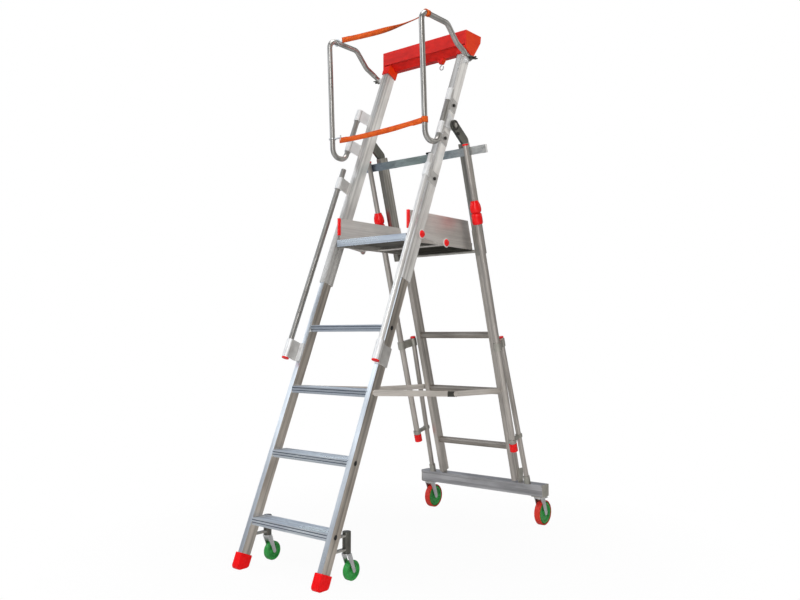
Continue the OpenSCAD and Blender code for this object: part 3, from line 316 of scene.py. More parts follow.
# %% Drawn metal
FRONT_LEAN, REAR_LEAN = math.radians(22.5), math.radians(15.8)
LEVEL, UP_FRONT, UP_REAR = (0, 0, 0), (FRONT_LEAN, 0, 0), (-REAR_LEAN, 0, 0)
LINE_ALONG = 1.5
STREAK_ACROSS, STREAK_ALONG = 70.0, 0.8
CLOUD_ACROSS, CLOUD_ALONG = 14.0, 4.0
POLISHED_LIFT = 1.06


def drawn_metal(name, along, turn, light, dark, rough=0.34, streaks=0.72, lines=300.0, relief=0.06,
                bare=1.0, cloud_detail=4.0):
    mat, tree, shader = finish(name)
    shader.inputs["Metallic"].default_value = bare

    def stretched(across_scale, along_scale, detail):
        scale = [across_scale] * 3
        scale["XYZ".index(along)] = along_scale
        return noise(tree, pattern(tree, scale, turn), detail)

    fine = stretched(lines, LINE_ALONG, 2.0)
    bands = stretched(STREAK_ACROSS, STREAK_ALONG, 3.0)
    clouds = stretched(CLOUD_ACROSS, CLOUD_ALONG, cloud_detail)
    polished = tuple(min(1, c * POLISHED_LIFT) for c in light)
    tone = ramp(tree, clouds, [(0.30, dark), (0.55, light), (0.75, polished)])
    streak = ramp(tree, bands, [(0.34, grey(streaks)), (0.56, WHITE)])
    line = ramp(tree, fine, [(0.25, grey(0.84)), (0.6, WHITE)])
    colour = multiply(tree, multiply(tree, tone, streak), line, 0.8)
    tree.links.new(colour, shader.inputs["Base Color"])
    tree.links.new(spread(tree, clouds, rough + 0.10, rough - 0.06), shader.inputs["Roughness"])
    bump(tree, shader, fine, relief, 0.0003)
    return mat


print("leans", round(math.degrees(FRONT_LEAN), 1), round(math.degrees(REAR_LEAN), 1))

# %% [markdown]
# The front ladder is the brightest part. Its stiles are clear in front, and their sideways faces take copies
# of the metal that are painted light: darker and warmer on the lower stiles as painted shade and painted
# reflection of the ground, and paler on the upper right stile as a painted highlight. Its treads look cool
# from above, and the left handrail is painted darker than the right as painted shade. One metal for all would
# be simpler, but the sections of the real ladder differ in age and gloss.

# %% Drawn metals of the front ladder
front_metal = drawn_metal("drawn_aluminium_front", "Z", UP_FRONT, (0.84, 0.89, 0.94), (0.70, 0.74, 0.79),
                          rough=0.30, streaks=0.86)
# painted shade and painted reflection of the ground: a darker, warmer copy for the sideways faces of the
# lower stiles
side_shade_metal = drawn_metal("drawn_aluminium_side_shade", "Z", UP_FRONT, (0.82, 0.76, 0.69), (0.60, 0.54, 0.48),
                         rough=0.36, streaks=0.56)
upper_metal = drawn_metal("drawn_aluminium_upper", "Z", UP_FRONT, (0.84, 0.83, 0.81), (0.64, 0.62, 0.60),
                          rough=0.32, streaks=0.62, bare=0.60)
# painted highlight: a paler, less metallic copy for the sideways faces of the upper right stile
lit_side_metal = drawn_metal("drawn_aluminium_lit_side", "Z", UP_FRONT, (0.94, 0.93, 0.91), (0.74, 0.72, 0.70),
                          rough=0.34, streaks=0.66, bare=0.40)
rail_metal = drawn_metal("drawn_tube", "Z", UP_FRONT, (0.95, 0.95, 0.94), (0.82, 0.81, 0.80),
                         rough=0.32, streaks=0.88, bare=0.60)
# painted shade: a darker copy of the tube metal for the left handrail
shaded_left_rail = drawn_metal("left_tube_painted_shade", "Z", UP_FRONT, (0.52, 0.51, 0.49), (0.40, 0.39, 0.37),
                        rough=0.38, streaks=0.74)
tread_metal = drawn_metal("drawn_aluminium_tread", "X", LEVEL, (0.86, 0.93, 1.0), (0.68, 0.74, 0.84),
                          rough=0.28, streaks=0.74)
groove_metal = drawn_metal("groove_shade", "X", LEVEL, (0.10, 0.14, 0.22), (0.07, 0.10, 0.16),
                           rough=0.50, streaks=0.80)
loop_metal = drawn_metal("polished_tube", "Z", LEVEL, (0.58, 0.57, 0.55), (0.46, 0.45, 0.43),
                         rough=0.30, streaks=0.92, lines=90.0, relief=0.0, cloud_detail=1.0)
print("materials so far", len(bpy.data.materials))

# %% [markdown]
# The rear frame is duller and warmer than the front ladder, partly from its own age and gloss and partly as
# painted shade, since it stands in the shade of the front ladder. The deck is cool and bright on top and
# painted dark underneath as painted shade, and the stays and toe-boards are pale sheet metal.

# %% Drawn metals of the rear frame, the platform and the stays
# partly painted shade: the rear frame's metals are darker and warmer where the front ladder shades them
rear_metal = drawn_metal("drawn_aluminium_rear", "Z", UP_REAR, (0.66, 0.62, 0.58), (0.48, 0.45, 0.42),
                         rough=0.36, streaks=0.66, bare=0.72)
post_metal = drawn_metal("drawn_aluminium_post", "Z", UP_REAR, (0.42, 0.41, 0.38), (0.28, 0.27, 0.25),
                         rough=0.34, streaks=0.50)
cross_metal = drawn_metal("drawn_aluminium_cross", "X", LEVEL, (0.50, 0.46, 0.42), (0.36, 0.33, 0.30),
                          rough=0.46, streaks=0.70)
beam_metal = drawn_metal("drawn_aluminium_beam", "X", LEVEL, (0.68, 0.68, 0.71), (0.48, 0.48, 0.50),
                         rough=0.36, streaks=0.46)
stay_metal = drawn_metal("drawn_aluminium_stay", "Y", LEVEL, (0.90, 0.85, 0.80), (0.74, 0.69, 0.64),
                         rough=0.44, streaks=0.84, bare=0.45)
board_metal = drawn_metal("rolled_aluminium_board", "Y", LEVEL, (0.86, 0.83, 0.80), (0.70, 0.67, 0.64),
                          rough=0.36, streaks=0.88, bare=0.70)
deck_metal = drawn_metal("rolled_aluminium_deck", "X", LEVEL, (0.86, 0.93, 1.0), (0.66, 0.74, 0.86),
                         rough=0.26, streaks=0.74)
# painted shade: a dark copy for the deck's downward faces, which lie in shade
underside_shade_metal = drawn_metal("deck_underside_painted_shade", "X", LEVEL, (0.15, 0.145, 0.125), (0.085, 0.08, 0.07),
                          rough=0.55, streaks=0.60)
print("materials so far", len(bpy.data.materials))

# %% [markdown]
# Brackets, hinge castings, forks and bolts are cast, pressed or plated. They have a fine even grain and
# soft patches, and no direction, so plain noise at two sizes does for all of them.

# %% Cast and plated metals
GRAIN, PATCHES = (260, 260, 260), (22, 22, 22)


def cast_metal(name, light, dark, rough=0.48, metallic=1.0):
    mat, tree, shader = finish(name)
    shader.inputs["Metallic"].default_value = metallic
    grain = noise(tree, pattern(tree, GRAIN), 4.0)
    patches = noise(tree, pattern(tree, PATCHES), 3.0)
    tree.links.new(ramp(tree, patches, [(0.3, dark), (0.7, light)]), shader.inputs["Base Color"])
    tree.links.new(spread(tree, grain, rough - 0.08, rough + 0.12), shader.inputs["Roughness"])
    bump(tree, shader, grain, 0.25, 0.0006)
    return mat


dull_metal = cast_metal("dull_aluminium", (0.60, 0.59, 0.56), (0.46, 0.45, 0.42))
bracket_metal = cast_metal("bracket_aluminium", (0.94, 0.95, 0.96), (0.80, 0.81, 0.82), 0.36, 0.35)
fitting_metal = cast_metal("beam_fitting_metal", (0.62, 0.60, 0.55), (0.44, 0.44, 0.40), 0.42)
head_metal = cast_metal("hinge_casting", (0.19, 0.19, 0.17), (0.11, 0.11, 0.10), 0.38)
band_metal = cast_metal("bracket_band", (0.70, 0.69, 0.67), (0.52, 0.51, 0.50), 0.40, 0.6)
pale_metal = cast_metal("pale_washer", (0.92, 0.90, 0.88), (0.84, 0.82, 0.80), 0.40, 0.25)
zinc = cast_metal("zinc_plated_steel", (0.74, 0.75, 0.76), (0.54, 0.55, 0.57), 0.30)
dark_cast = cast_metal("dark_casting", (0.10, 0.095, 0.09), (0.05, 0.05, 0.048), 0.46)
print("materials so far", len(bpy.data.materials))

# %% [markdown]
# The rear bar is galvanised: cool and blue at the left end, greenish in the middle, pale at the right.
# One even grey would be simpler, but then the bar would look like the beam. A ramp along the bar gives the
# tint, and stretched noise the spangle.

# %% Galvanised bar
BAR_HALF = 0.40
BAR_TINTS = [(0.0, (0.30, 0.35, 0.56)), (0.22, (0.40, 0.47, 0.52)), (0.50, (0.46, 0.57, 0.56)),
             (0.72, (0.52, 0.60, 0.64)), (1.0, (0.86, 0.87, 0.86))]

bar_metal, tree, shader = finish("galvanised_bar")
shader.inputs["Metallic"].default_value = 1.0
along_bar = tree.nodes.new("ShaderNodeSeparateXYZ")
tree.links.new(pattern(tree, (1, 1, 1)), along_bar.inputs[0])
tint = ramp(tree, spread(tree, along_bar.outputs["X"], 0.0, 1.0, -BAR_HALF, BAR_HALF), BAR_TINTS)
flakes = noise(tree, pattern(tree, (30, 90, 90)), 4.0)
spangle = ramp(tree, flakes, [(0.3, (0.70, 0.72, 0.74)), (0.62, WHITE)])
tree.links.new(multiply(tree, tint, spangle), shader.inputs["Base Color"])
dulled = noise(tree, pattern(tree, (40, 160, 160)), 3.0)
tree.links.new(spread(tree, dulled, 0.26, 0.44), shader.inputs["Roughness"])
print("bar tints", len(BAR_TINTS))

# %% [markdown]
# Moulded plastic has a satin skin, faint flow marks and dull scuffs where it meets the ground or the
# hand. The red, green and black parts share one recipe with their own colours.

# %% Plastic finishes
FLOW_MARKS, SKIN, SCUFFS = (18, 18, 40), (700, 700, 700), (60, 60, 60)


def moulded(name, colour, deep, rough=0.34, shine=0.42):
    mat, tree, shader = finish(name)
    flow = noise(tree, pattern(tree, FLOW_MARKS), 3.0)
    skin = noise(tree, pattern(tree, SKIN), 2.0)
    scuff = noise(tree, pattern(tree, SCUFFS), 5.0, 0.7)
    base = ramp(tree, flow, [(0.32, deep), (0.6, colour)])
    worn = ramp(tree, scuff, [(0.24, (0.78, 0.76, 0.76)), (0.36, WHITE)])
    tree.links.new(multiply(tree, base, worn, 0.5), shader.inputs["Base Color"])
    dulled = spread(tree, scuff, rough + 0.16, rough - 0.04, 0.25, 0.6)
    tree.links.new(dulled, shader.inputs["Roughness"])
    shader.inputs["Specular IOR Level"].default_value = shine
    bump(tree, shader, skin, 0.06, 0.0003)
    return mat


red_plastic = moulded("moulded_red", (0.98, 0.004, 0.006), (0.88, 0.003, 0.005), 0.28, 0.18)
tray_red = moulded("tray_red", (0.74, 0.017, 0.011), (0.58, 0.011, 0.008), 0.38, 0.18)
end_red = moulded("tray_end_red", (0.99, 0.062, 0.008), (0.92, 0.042, 0.006), 0.36, 0.14)
bright_red = moulded("moulded_bright_red", (0.99, 0.006, 0.008), (0.88, 0.004, 0.006), 0.15, 0.42)
green_plastic = moulded("moulded_green", (0.036, 0.38, 0.070), (0.020, 0.24, 0.042), 0.22)
black_plastic = moulded("moulded_black", (0.012, 0.012, 0.013), (0.006, 0.006, 0.007), 0.42)
tread_rubber = moulded("red_wheel_tread", (0.80, 0.045, 0.025), (0.60, 0.025, 0.018), 0.46)
print("materials so far", len(bpy.data.materials))

# %% [markdown]
# Some solids take a second colour on some faces, and most of these are painted light. The sideways faces of
# the stiles are brighter or duller than the fronts, as painted highlight and painted shade. The tray's ends
# face the light and are painted brighter. The grooves in the tread noses are painted dark as painted shade,
# the deck's underside is painted dark as painted shade, and the left handrail is painted darker as painted
# shade. A small test on each face picks the second colour. A second sheet laid over the face would do too,
# but it would flicker where the two lie together. The treads' test needs the front edge of each tread, which
# is read from the solid.

# %% Faces that take a second colour, mostly painted light
TREAD_TOP, TREAD_PITCH, TREAD_HALF = 202, 270, 14.5
GROOVE_NEAR, GROOVE_FAR = 0.0003, 0.002
LIP_DEPTH = 0.010


def faces_sideways(face):
    return abs(face.normal.x) > 0.6


def flat_side(face):
    return abs(face.normal.x) > 0.97


def on_left(face):
    return face.calc_center_median().x < 0


deck_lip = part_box("deck")[0].y + LIP_DEPTH


def out_of_light(face):
    in_front = face.normal.y < -0.6 and face.calc_center_median().y < deck_lip
    return face.normal.z < 0.3 and not in_front


def step_at(height):
    return round((height / MM - TREAD_TOP + TREAD_HALF) / TREAD_PITCH)


nose_of_tread = {}
for vert in nodes["treads"].data.vertices:
    step = step_at(vert.co.z)
    nose_of_tread[step] = min(nose_of_tread.get(step, vert.co.y), vert.co.y)


def in_nose_groove(face):
    middle = face.calc_center_median()
    nose = nose_of_tread[step_at(middle.z)]
    return middle.y - nose > GROOVE_NEAR and max(v.co.y for v in face.verts) - nose < GROOVE_FAR


print("treads found", len(nose_of_tread))

# %% [markdown]
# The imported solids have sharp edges. Real extrusions and mouldings have a small round on every edge,
# which catches the light. Each visible solid is copied, its triangles are merged, and a Bevel modifier
# rounds the edges that are sharper than a curved wall's facets. The round could be cut into the mesh, but a
# modifier keeps each radius easy to change. The copy then stands for the solid.

# %% Rounded copies of the solids
MERGE_GAP, FLAT_DEGREES, SHARP_DEGREES = 2e-5, 0.6, 34
# most second colours here are painted light: highlight and shade on the stile sides, shade in the nose
# grooves, under the deck and on the left handrail, and brighter tray ends where they face the light
SECOND_FINISH_AND_PAINTED_LIGHT = {
    "upper_stile_right": (lit_side_metal, faces_sideways),
    "lower_stile_left": (side_shade_metal, faces_sideways),
    "lower_stile_right": (side_shade_metal, faces_sideways),
    "treads": (groove_metal, in_nose_groove),
    "deck": (underside_shade_metal, out_of_light),
    "tube_brackets": (band_metal, flat_side),
    "handrails": (shaded_left_rail, on_left),
    "fruit_tray": (end_red, faces_sideways),
}
ROUND_STEPS = {"front_feet": 4, "tube_clamps": 4}


def shade_by_angle(mesh, degrees):
    for poly in mesh.polygons:
        poly.use_smooth = True
    mesh.set_sharp_from_angle(angle=math.radians(degrees))


def rounded_copy(node, material, radius):
    second, pick = SECOND_FINISH_AND_PAINTED_LIGHT.get(node, (None, None))
    bm = bmesh.new()
    bm.from_mesh(nodes[node].data)
    bmesh.ops.remove_doubles(bm, verts=bm.verts, dist=MERGE_GAP)
    bmesh.ops.dissolve_limit(bm, angle_limit=math.radians(FLAT_DEGREES), verts=bm.verts, edges=bm.edges)
    if second:
        bm.normal_update()
        for face in bm.faces:
            face.material_index = 1 if pick(face) else 0
    mesh = bpy.data.meshes.new(node + "_dressed")
    bm.to_mesh(mesh)
    bm.free()
    shade_by_angle(mesh, SHARP_DEGREES)
    mesh.materials.append(material)
    if second:
        mesh.materials.append(second)
    piece = bpy.data.objects.new(node + "_dressed", mesh)
    scene.collection.objects.link(piece)
    if radius:
        soft = piece.modifiers.new("rounded edges", "BEVEL")
        soft.width = radius
        soft.segments = ROUND_STEPS.get(node, 2)
        soft.limit_method = "ANGLE"
        soft.angle_limit = math.radians(SHARP_DEGREES)
        soft.use_clamp_overlap = True
        soft.harden_normals = True
    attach(piece, body_of_node[node])
    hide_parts(node)


print("solids with two finishes", len(SECOND_FINISH_AND_PAINTED_LIGHT))

# %% [markdown]
# Every row names the solids, their finish and the radius of their edges in metres: large for mouldings and
# small for sheet metal. A tube has no edge that shows, so the handrails have no round.

# %% Dress the solids
def both(name):
    return [name + "_left", name + "_right"]


dressing = [
    (both("upper_stile"), upper_metal, 0.0022), (both("lower_stile"), front_metal, 0.0018),
    (["treads"], tread_metal, 0.0006), (["front_feet"], red_plastic, 0.006),
    (both("rear_post"), post_metal, 0.002), (both("rear_stile"), rear_metal, 0.002),
    (["castor_beam"], beam_metal, 0.0012), (["rear_bar"], bar_metal, 0.0012),
    (["deck"], deck_metal, 0.0008), (["toe_boards"], board_metal, 0.0006),
    (["platform_trims"], bright_red, 0.0012), (["platform_links"], board_metal, 0.0006),
    (["platform_pins"], bright_red, 0.0014), (["tube_brackets"], bracket_metal, 0.0008),
    (["handrails"], rail_metal, 0), (["rail_end_caps"], red_plastic, 0.002),
    (["hinge_plates"], bracket_metal, 0.0006), (["hinge_heads"], head_metal, 0.0016),
    (["fruit_tray"], tray_red, 0.0016), (["socket_brackets"], dull_metal, 0.0008),
    (["castor_sockets"], head_metal, 0.0015), (both("front_fork") + both("rear_fork"), zinc, 0.0006),
    (both("brake_pedal"), dull_metal, 0.0008), (["tube_clamps"], bright_red, 0.0036),
    (["beam_fittings"], fitting_metal, 0.0006), (["guide_tube_caps"], bright_red, 0.0015),
    (["stay_front_links", "stay_rear_links"], stay_metal, 0.0006), (both("wing_nut"), head_metal, 0.0008),
    (["bar_knob"], black_plastic, 0.002), (["bracket_bolts"], dark_cast, 0.0008),
    (both("front_wheel") + both("rear_wheel"), green_plastic, 0.0012),
]
for names, material, radius in dressing:
    for node in names:
        rounded_copy(node, material, radius)
print("rounded copies", sum(len(row[0]) for row in dressing))

# %% [markdown]
# Each guard loop is one bent tube: a straight that stands in the brackets, a tight turn at the bottom,
# a long front leg, a round corner, a short top run and a tail that goes down to the stile, flattened where
# the clamp bolt goes through. Its corners are in millimetres and follow the front line of the stiles, which
# meets the floor so that the ladder stands centred between the feet and the rear castors.

# %% Route of a guard loop
FOOT_WALL, SOLE_RADIUS, REAR_REACH, BASE_DEPTH = 7.0, 16.0, 83.5, 1492.0
TAN_FRONT, COS_FRONT = math.tan(FRONT_LEAN), math.cos(FRONT_LEAN)
FOOT_TOE = FOOT_WALL / COS_FRONT - SOLE_RADIUS * (TAN_FRONT + 1 / COS_FRONT - 1)
FRONT_Y0 = (FOOT_TOE - REAR_REACH - BASE_DEPTH) / 2
LOOP_X, TUBE_RADIUS = 283, 12.5
STEM_AHEAD, STEM_TOP = 49, 2095
LOOP_BOTTOM, LOOP_TOP = 1832, 2402
LOOP_DEPTH, LEG_LEAN = 84, 28
CLAMP_Z, CLAMP_BACK = 2288, 25


def front_y(z):
    return FRONT_Y0 + z * TAN_FRONT


stem_foot = front_y(LOOP_BOTTOM) - STEM_AHEAD / COS_FRONT
clamp_y = front_y(CLAMP_Z) + CLAMP_BACK
loop_corners = [(front_y(STEM_TOP) - STEM_AHEAD / COS_FRONT, STEM_TOP), (stem_foot, LOOP_BOTTOM),
                (stem_foot - LOOP_DEPTH, LOOP_BOTTOM), (stem_foot - LOOP_DEPTH - LEG_LEAN, LOOP_TOP),
                (clamp_y - 185, LOOP_TOP), (clamp_y - 110, 2331), (clamp_y - 50, 2307.5)]
loop_bends = [0, 46, 46, 40, 40, 50, 0]
print("loop corners", [(round(y), round(z)) for y, z in loop_corners])

# %% [markdown]
# Every new piece goes the same way from a bmesh to an object: shading, finish and the body it rides on. Many
# pieces grow from a rim of edges that is extruded again and again, so a helper pushes a rim out and gives
# back the new one.

# %% New pieces and rims
def new_piece(name, bm, material, body, sharp=40):
    mesh = bpy.data.meshes.new(name)
    bm.to_mesh(mesh)
    bm.free()
    shade_by_angle(mesh, sharp)
    mesh.materials.append(material)
    piece = bpy.data.objects.new(name, mesh)
    scene.collection.objects.link(piece)
    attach(piece, body)
    return piece


def rim_after(result):
    verts = [g for g in result if isinstance(g, bmesh.types.BMVert)]
    edges = [g for g in result if isinstance(g, bmesh.types.BMEdge)]
    found = set(verts)
    return verts, [e for e in edges if all(v in found for v in e.verts)]


def push_rim(bm, edges, step):
    verts, rim = rim_after(bmesh.ops.extrude_edge_only(bm, edges=edges)["geom"])
    bmesh.ops.translate(bm, verts=verts, vec=step)
    return verts, rim


# %% [markdown]
# To bend a tube, a circle is extruded along each straight and spun round each bend. A straight stops short
# of its corner by the bend's radius times the tangent of half the angle.

# %% Bending a tube
def bent_tube(bm, corners, bends, radius, sides=28, steps=10):
    way = (corners[1] - corners[0]).normalized()
    turn = way.to_track_quat("Z", "Y").to_matrix().to_4x4()
    made = bmesh.ops.create_circle(bm, cap_ends=False, segments=sides, radius=radius,
                                   matrix=Matrix.Translation(corners[0]) @ turn)
    rim = list({e for v in made["verts"] for e in v.link_edges})
    bmesh.ops.contextual_create(bm, geom=rim)
    here = corners[0]
    for i in range(1, len(corners)):
        way = (corners[i] - corners[i - 1]).normalized()
        stop = corners[i]
        bends_here = i < len(corners) - 1
        if bends_here:
            after = (corners[i + 1] - corners[i]).normalized()
            angle = way.angle(after)
            stop = corners[i] - way * bends[i] * math.tan(angle / 2)
        rim = push_rim(bm, rim, stop - here)[1]
        here = stop
        if bends_here:
            axis = way.cross(after).normalized()
            centre = stop + axis.cross(way) * bends[i]
            spun = bmesh.ops.spin(bm, geom=rim, cent=centre, axis=axis, angle=angle, steps=steps,
                                  use_merge=False)
            rim = rim_after(spun["geom_last"])[1]
            here = centre + Matrix.Rotation(angle, 3, axis) @ (stop - centre)
    return rim, here


def scaled_about(point, factors):
    return Matrix.Translation(point) @ Matrix.Diagonal((*factors, 1)) @ Matrix.Translation(-point)


print("bends in a loop", sum(1 for b in loop_bends if b))

# %% [markdown]
# The loops are made left and right. Past the last bend the tube's end is drawn out a little and scaled, which
# flattens it, then drawn past the bolt, and scaled once more at the very end, so that it closes in a blunt
# tip. A curve with a round bevel would bend as well, but its tail couldn't be flattened on the way.

# %% Guard loops
FLATTEN_RUN, PAST_EYE, TIP_RUN = 0.020, 0.002, 0.009
FLATTENED, TIP_SHAPE = (0.36, 1.12, 1.12), (0.9, 0.55, 0.55)
for side, sign in SIDES:
    bm = bmesh.new()
    corners = [Vector((sign * LOOP_X, y, z)) * MM for y, z in loop_corners]
    rim, here = bent_tube(bm, corners, [b * MM for b in loop_bends], TUBE_RADIUS * MM)
    eye = Vector((sign * LOOP_X, clamp_y, CLAMP_Z)) * MM
    down = (eye - here).normalized()
    flat_from = here + down * FLATTEN_RUN
    verts, rim = push_rim(bm, rim, down * FLATTEN_RUN)
    bmesh.ops.transform(bm, matrix=scaled_about(flat_from, FLATTENED), verts=verts)
    verts, rim = push_rim(bm, rim, eye - flat_from + down * PAST_EYE)
    verts, rim = push_rim(bm, rim, down * TIP_RUN)
    tip = eye + down * (PAST_EYE + TIP_RUN)
    bmesh.ops.transform(bm, matrix=scaled_about(tip, TIP_SHAPE), verts=verts)
    bmesh.ops.contextual_create(bm, geom=rim)
    bmesh.ops.recalc_face_normals(bm, faces=bm.faces)
    loop = new_piece("guard_loop_%s_tube" % side, bm, loop_metal, "upper_front", 50)
    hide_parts("guard_loop_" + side)
print("guard loops made, tail ends at", tuple(round(v, 3) for v in tip))

# %% [markdown]
# The straps are woven webbing with a matt, slightly hairy face. Two wave patterns on a UV map make the
# threads across and the ribs along, so that the weave follows the band however it twists.

# %% Webbing finish
THREADS, RIBS = 150.0, 130.0


def wave(tree, direction, scale):
    uv = tree.nodes.new("ShaderNodeUVMap")
    uv.uv_map = "weave"
    node = tree.nodes.new("ShaderNodeTexWave")
    node.bands_direction = direction
    node.inputs["Scale"].default_value = scale
    tree.links.new(uv.outputs["UV"], node.inputs["Vector"])
    return node


webbing, tree, shader = finish("orange_webbing")
across = wave(tree, "Y", THREADS)
across.inputs["Distortion"].default_value = 0.6
along = wave(tree, "X", RIBS)
wear = noise(tree, pattern(tree, (45, 45, 45)), 4.0)
dye = ramp(tree, wear, [(0.3, (0.72, 0.090, 0.012)), (0.65, (0.90, 0.150, 0.018))])
thread = ramp(tree, across.outputs["Fac"], [(0.2, grey(0.84)), (0.7, WHITE)])
ribs = ramp(tree, along.outputs["Fac"], [(0.2, grey(0.88)), (0.7, WHITE)])
tree.links.new(multiply(tree, multiply(tree, dye, thread), ribs), shader.inputs["Base Color"])
shader.inputs["Roughness"].default_value = 0.78
shader.inputs["Specular IOR Level"].default_value = 0.15
shader.inputs["Sheen Weight"].default_value = 0.05
bump(tree, shader, across.outputs["Fac"], 0.35, 0.0008)
print("webbing finish ready, threads", THREADS, "ribs", RIBS)

# %% [markdown]
# A strap is soft enough to sag and twist, and both its ends are held. It is an edge that is extruded along
# a smooth route and turned a little at every step. A strap's loop round the tube is an edge that is spun
# round the tube's axis. Solidify gives both their thickness.

# %% Route and thickness of webbing
BAND_WIDTH, BAND_THICK, BAND_STEPS = 25, 2.2, 60


def smooth_route(points, count):
    out = []
    for i in range(count + 1):
        s = i / count * (len(points) - 1)
        k = min(int(s), len(points) - 2)
        f = s - k
        p0 = points[max(k - 1, 0)]
        p1, p2 = points[k], points[k + 1]
        p3 = points[min(k + 2, len(points) - 1)]
        out.append(0.5 * ((2 * p1) + (p2 - p0) * f + (2 * p0 - 5 * p1 + 4 * p2 - p3) * f * f
                          + (3 * p1 - p0 - 3 * p2 + p3) * f ** 3))
    return out


def webbing_piece(name, bm, thickness, offset):
    piece = new_piece(name, bm, webbing, "upper_front", 60)
    solid = piece.modifiers.new("thickness", "SOLIDIFY")
    solid.thickness = thickness * MM
    solid.offset = offset
    return piece


print("a strap is", BAND_WIDTH, "mm wide and", BAND_THICK, "mm thick")


# %% A band of webbing
def strap_band(name, route, twist, width=BAND_WIDTH, thickness=BAND_THICK, steps=BAND_STEPS):
    points = smooth_route([Vector(p) * MM for p in route], steps)
    turns = smooth_route([Vector((a, 0, 0)) for a in twist], steps)
    bm = bmesh.new()
    layer = bm.loops.layers.uv.new("weave")
    place = {}
    rim = None
    run = 0.0
    for i, point in enumerate(points):
        way = (points[min(i + 1, steps)] - points[max(i - 1, 0)]).normalized()
        upright = (Vector((0, 0, 1)) - way * way.z).normalized()
        wide = Matrix.Rotation(math.radians(turns[i].x), 3, way) @ upright * width * MM / 2
        if rim is None:
            ends = [bm.verts.new(point + wide), bm.verts.new(point - wide)]
            rim = [bm.edges.new(ends)]
            place[ends[0]], place[ends[1]] = (0.0, run), (width * MM, run)
            continue
        run += (point - points[i - 1]).length
        verts, rim = push_rim(bm, rim, Vector())
        for vert in verts:
            old = [e.other_vert(vert) for e in vert.link_edges if e not in rim]
            u = place[old[0]][0]
            place[vert] = (u, run)
            vert.co = point + wide if u == 0.0 else point - wide
    for face in bm.faces:
        for corner in face.loops:
            corner[layer].uv = place[corner.vert]
    return webbing_piece(name, bm, thickness, 0.0), run


print("a band has", BAND_STEPS, "steps")

# %% A loop of webbing
HOLD_RADIUS, HOLD_WIDTH, HOLD_THICK, HOLD_STEPS = 12.8 * MM, 26 * MM, 2.4, 40


def strap_loop(name, centre, axis):
    bm = bmesh.new()
    layer = bm.loops.layers.uv.new("weave")
    axis = Vector(axis).normalized()
    side = axis.orthogonal().normalized()
    middle = Vector(centre) * MM
    ends = [bm.verts.new(middle + side * HOLD_RADIUS + axis * s * HOLD_WIDTH / 2) for s in (-1, 1)]
    edge = bm.edges.new(ends)
    bmesh.ops.spin(bm, geom=[edge], cent=middle, axis=axis, angle=math.tau, steps=HOLD_STEPS,
                   use_merge=True)
    bmesh.ops.remove_doubles(bm, verts=bm.verts, dist=1e-5)
    bmesh.ops.recalc_face_normals(bm, faces=bm.faces)
    for face in bm.faces:
        for corner in face.loops:
            out = corner.vert.co - middle
            angle = math.atan2(out.dot(side.cross(axis)), out.dot(side))
            corner[layer].uv = (out.dot(axis) + HOLD_WIDTH / 2, HOLD_RADIUS * angle)
    webbing_piece(name, bm, HOLD_THICK, 1.0)


print("a loop has", HOLD_STEPS, "steps")

# %% [markdown]
# Both straps start at a snap hook beside the left loop and end round the tube of the right one. The lower
# strap hangs nearly flat, and the upper one turns over by about a quarter on its way. A cloth simulation
# could drape them, but the ends are fixed and the photograph shows where they hang, so the routes are given
# as points in millimetres and the twist in degrees.

# %% Straps
LOWER_Z, LOWER_LOOP_Z, UPPER_BACK = 1912, 1918, 40


def leg_y(z):
    return stem_foot - LOOP_DEPTH - LEG_LEAN * (z - LOOP_BOTTOM) / (LOOP_TOP - LOOP_BOTTOM)


low_y, high_y = leg_y(LOWER_Z), leg_y(LOOP_TOP) + UPPER_BACK
lower_route = [(-228, low_y + 1, 1905), (-150, low_y - 1, 1902), (-40, low_y - 3, 1902),
               (90, low_y - 3, 1906), (190, low_y - 1, 1913), (271, low_y + 1, 1918)]
lower_twist = [4, -6, -2, 6, -10, 0]
upper_route = [(-228, high_y, 2400), (-120, high_y - 6, 2389), (20, high_y - 10, 2380),
               (140, high_y - 8, 2381), (226, high_y - 3, 2389), (271, high_y, 2400)]
upper_twist = [14, 12, 40, 98, 114, 112]
leg_way = (0, -LEG_LEAN, LOOP_TOP - LOOP_BOTTOM)

lower, lower_run = strap_band("strap_lower_band", lower_route, lower_twist)
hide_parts("strap_lower")
strap_loop("strap_lower_loop", (LOOP_X, leg_y(LOWER_LOOP_Z), LOWER_LOOP_Z), leg_way)
upper, upper_run = strap_band("strap_upper_band", upper_route, upper_twist)
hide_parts("strap_upper")
strap_loop("strap_upper_loop", (LOOP_X, high_y, LOOP_TOP), (0, 1, 0))
print("straps", round(lower_run, 3), round(upper_run, 3))

# %% [markdown]
# Where a strap is folded back and sewn, it is twice as thick: at the hook of each strap, and where the lower
# one leaves its loop. A short thicker band lies over the strap there.

# %% Sewn folds
END_WIDTH, END_THICK, FOLD_WIDTH, FOLD_THICK, FOLD_STEPS = 25.6, 5.2, 25.8, 5.4, 12
END_STEPS, FOLD_BACK = (-7, 10, 26, 43), (56, 38, 19, 1)
FOLD_WAY, FOLD_TWIST = Vector((-1, -0.02, -0.075)), [-8, -6, -2, 0]


def hook_end(route):
    start = Vector(route[0])
    way = (Vector(route[1]) - start).normalized()
    return [start + way * k for k in END_STEPS]


loop_end = [Vector(lower_route[-1]) + FOLD_WAY * k for k in FOLD_BACK]
folds = (("strap_lower_end", hook_end(lower_route), lower_twist[:1] * 4, END_WIDTH, END_THICK),
         ("strap_upper_end", hook_end(upper_route), upper_twist[:1] * 4, END_WIDTH, END_THICK),
         ("strap_lower_fold", loop_end, FOLD_TWIST, FOLD_WIDTH, FOLD_THICK))
for name, route, twist, width, thickness in folds:
    strap_band(name, route, twist, width, thickness, FOLD_STEPS)
print("sewn folds", len(folds))

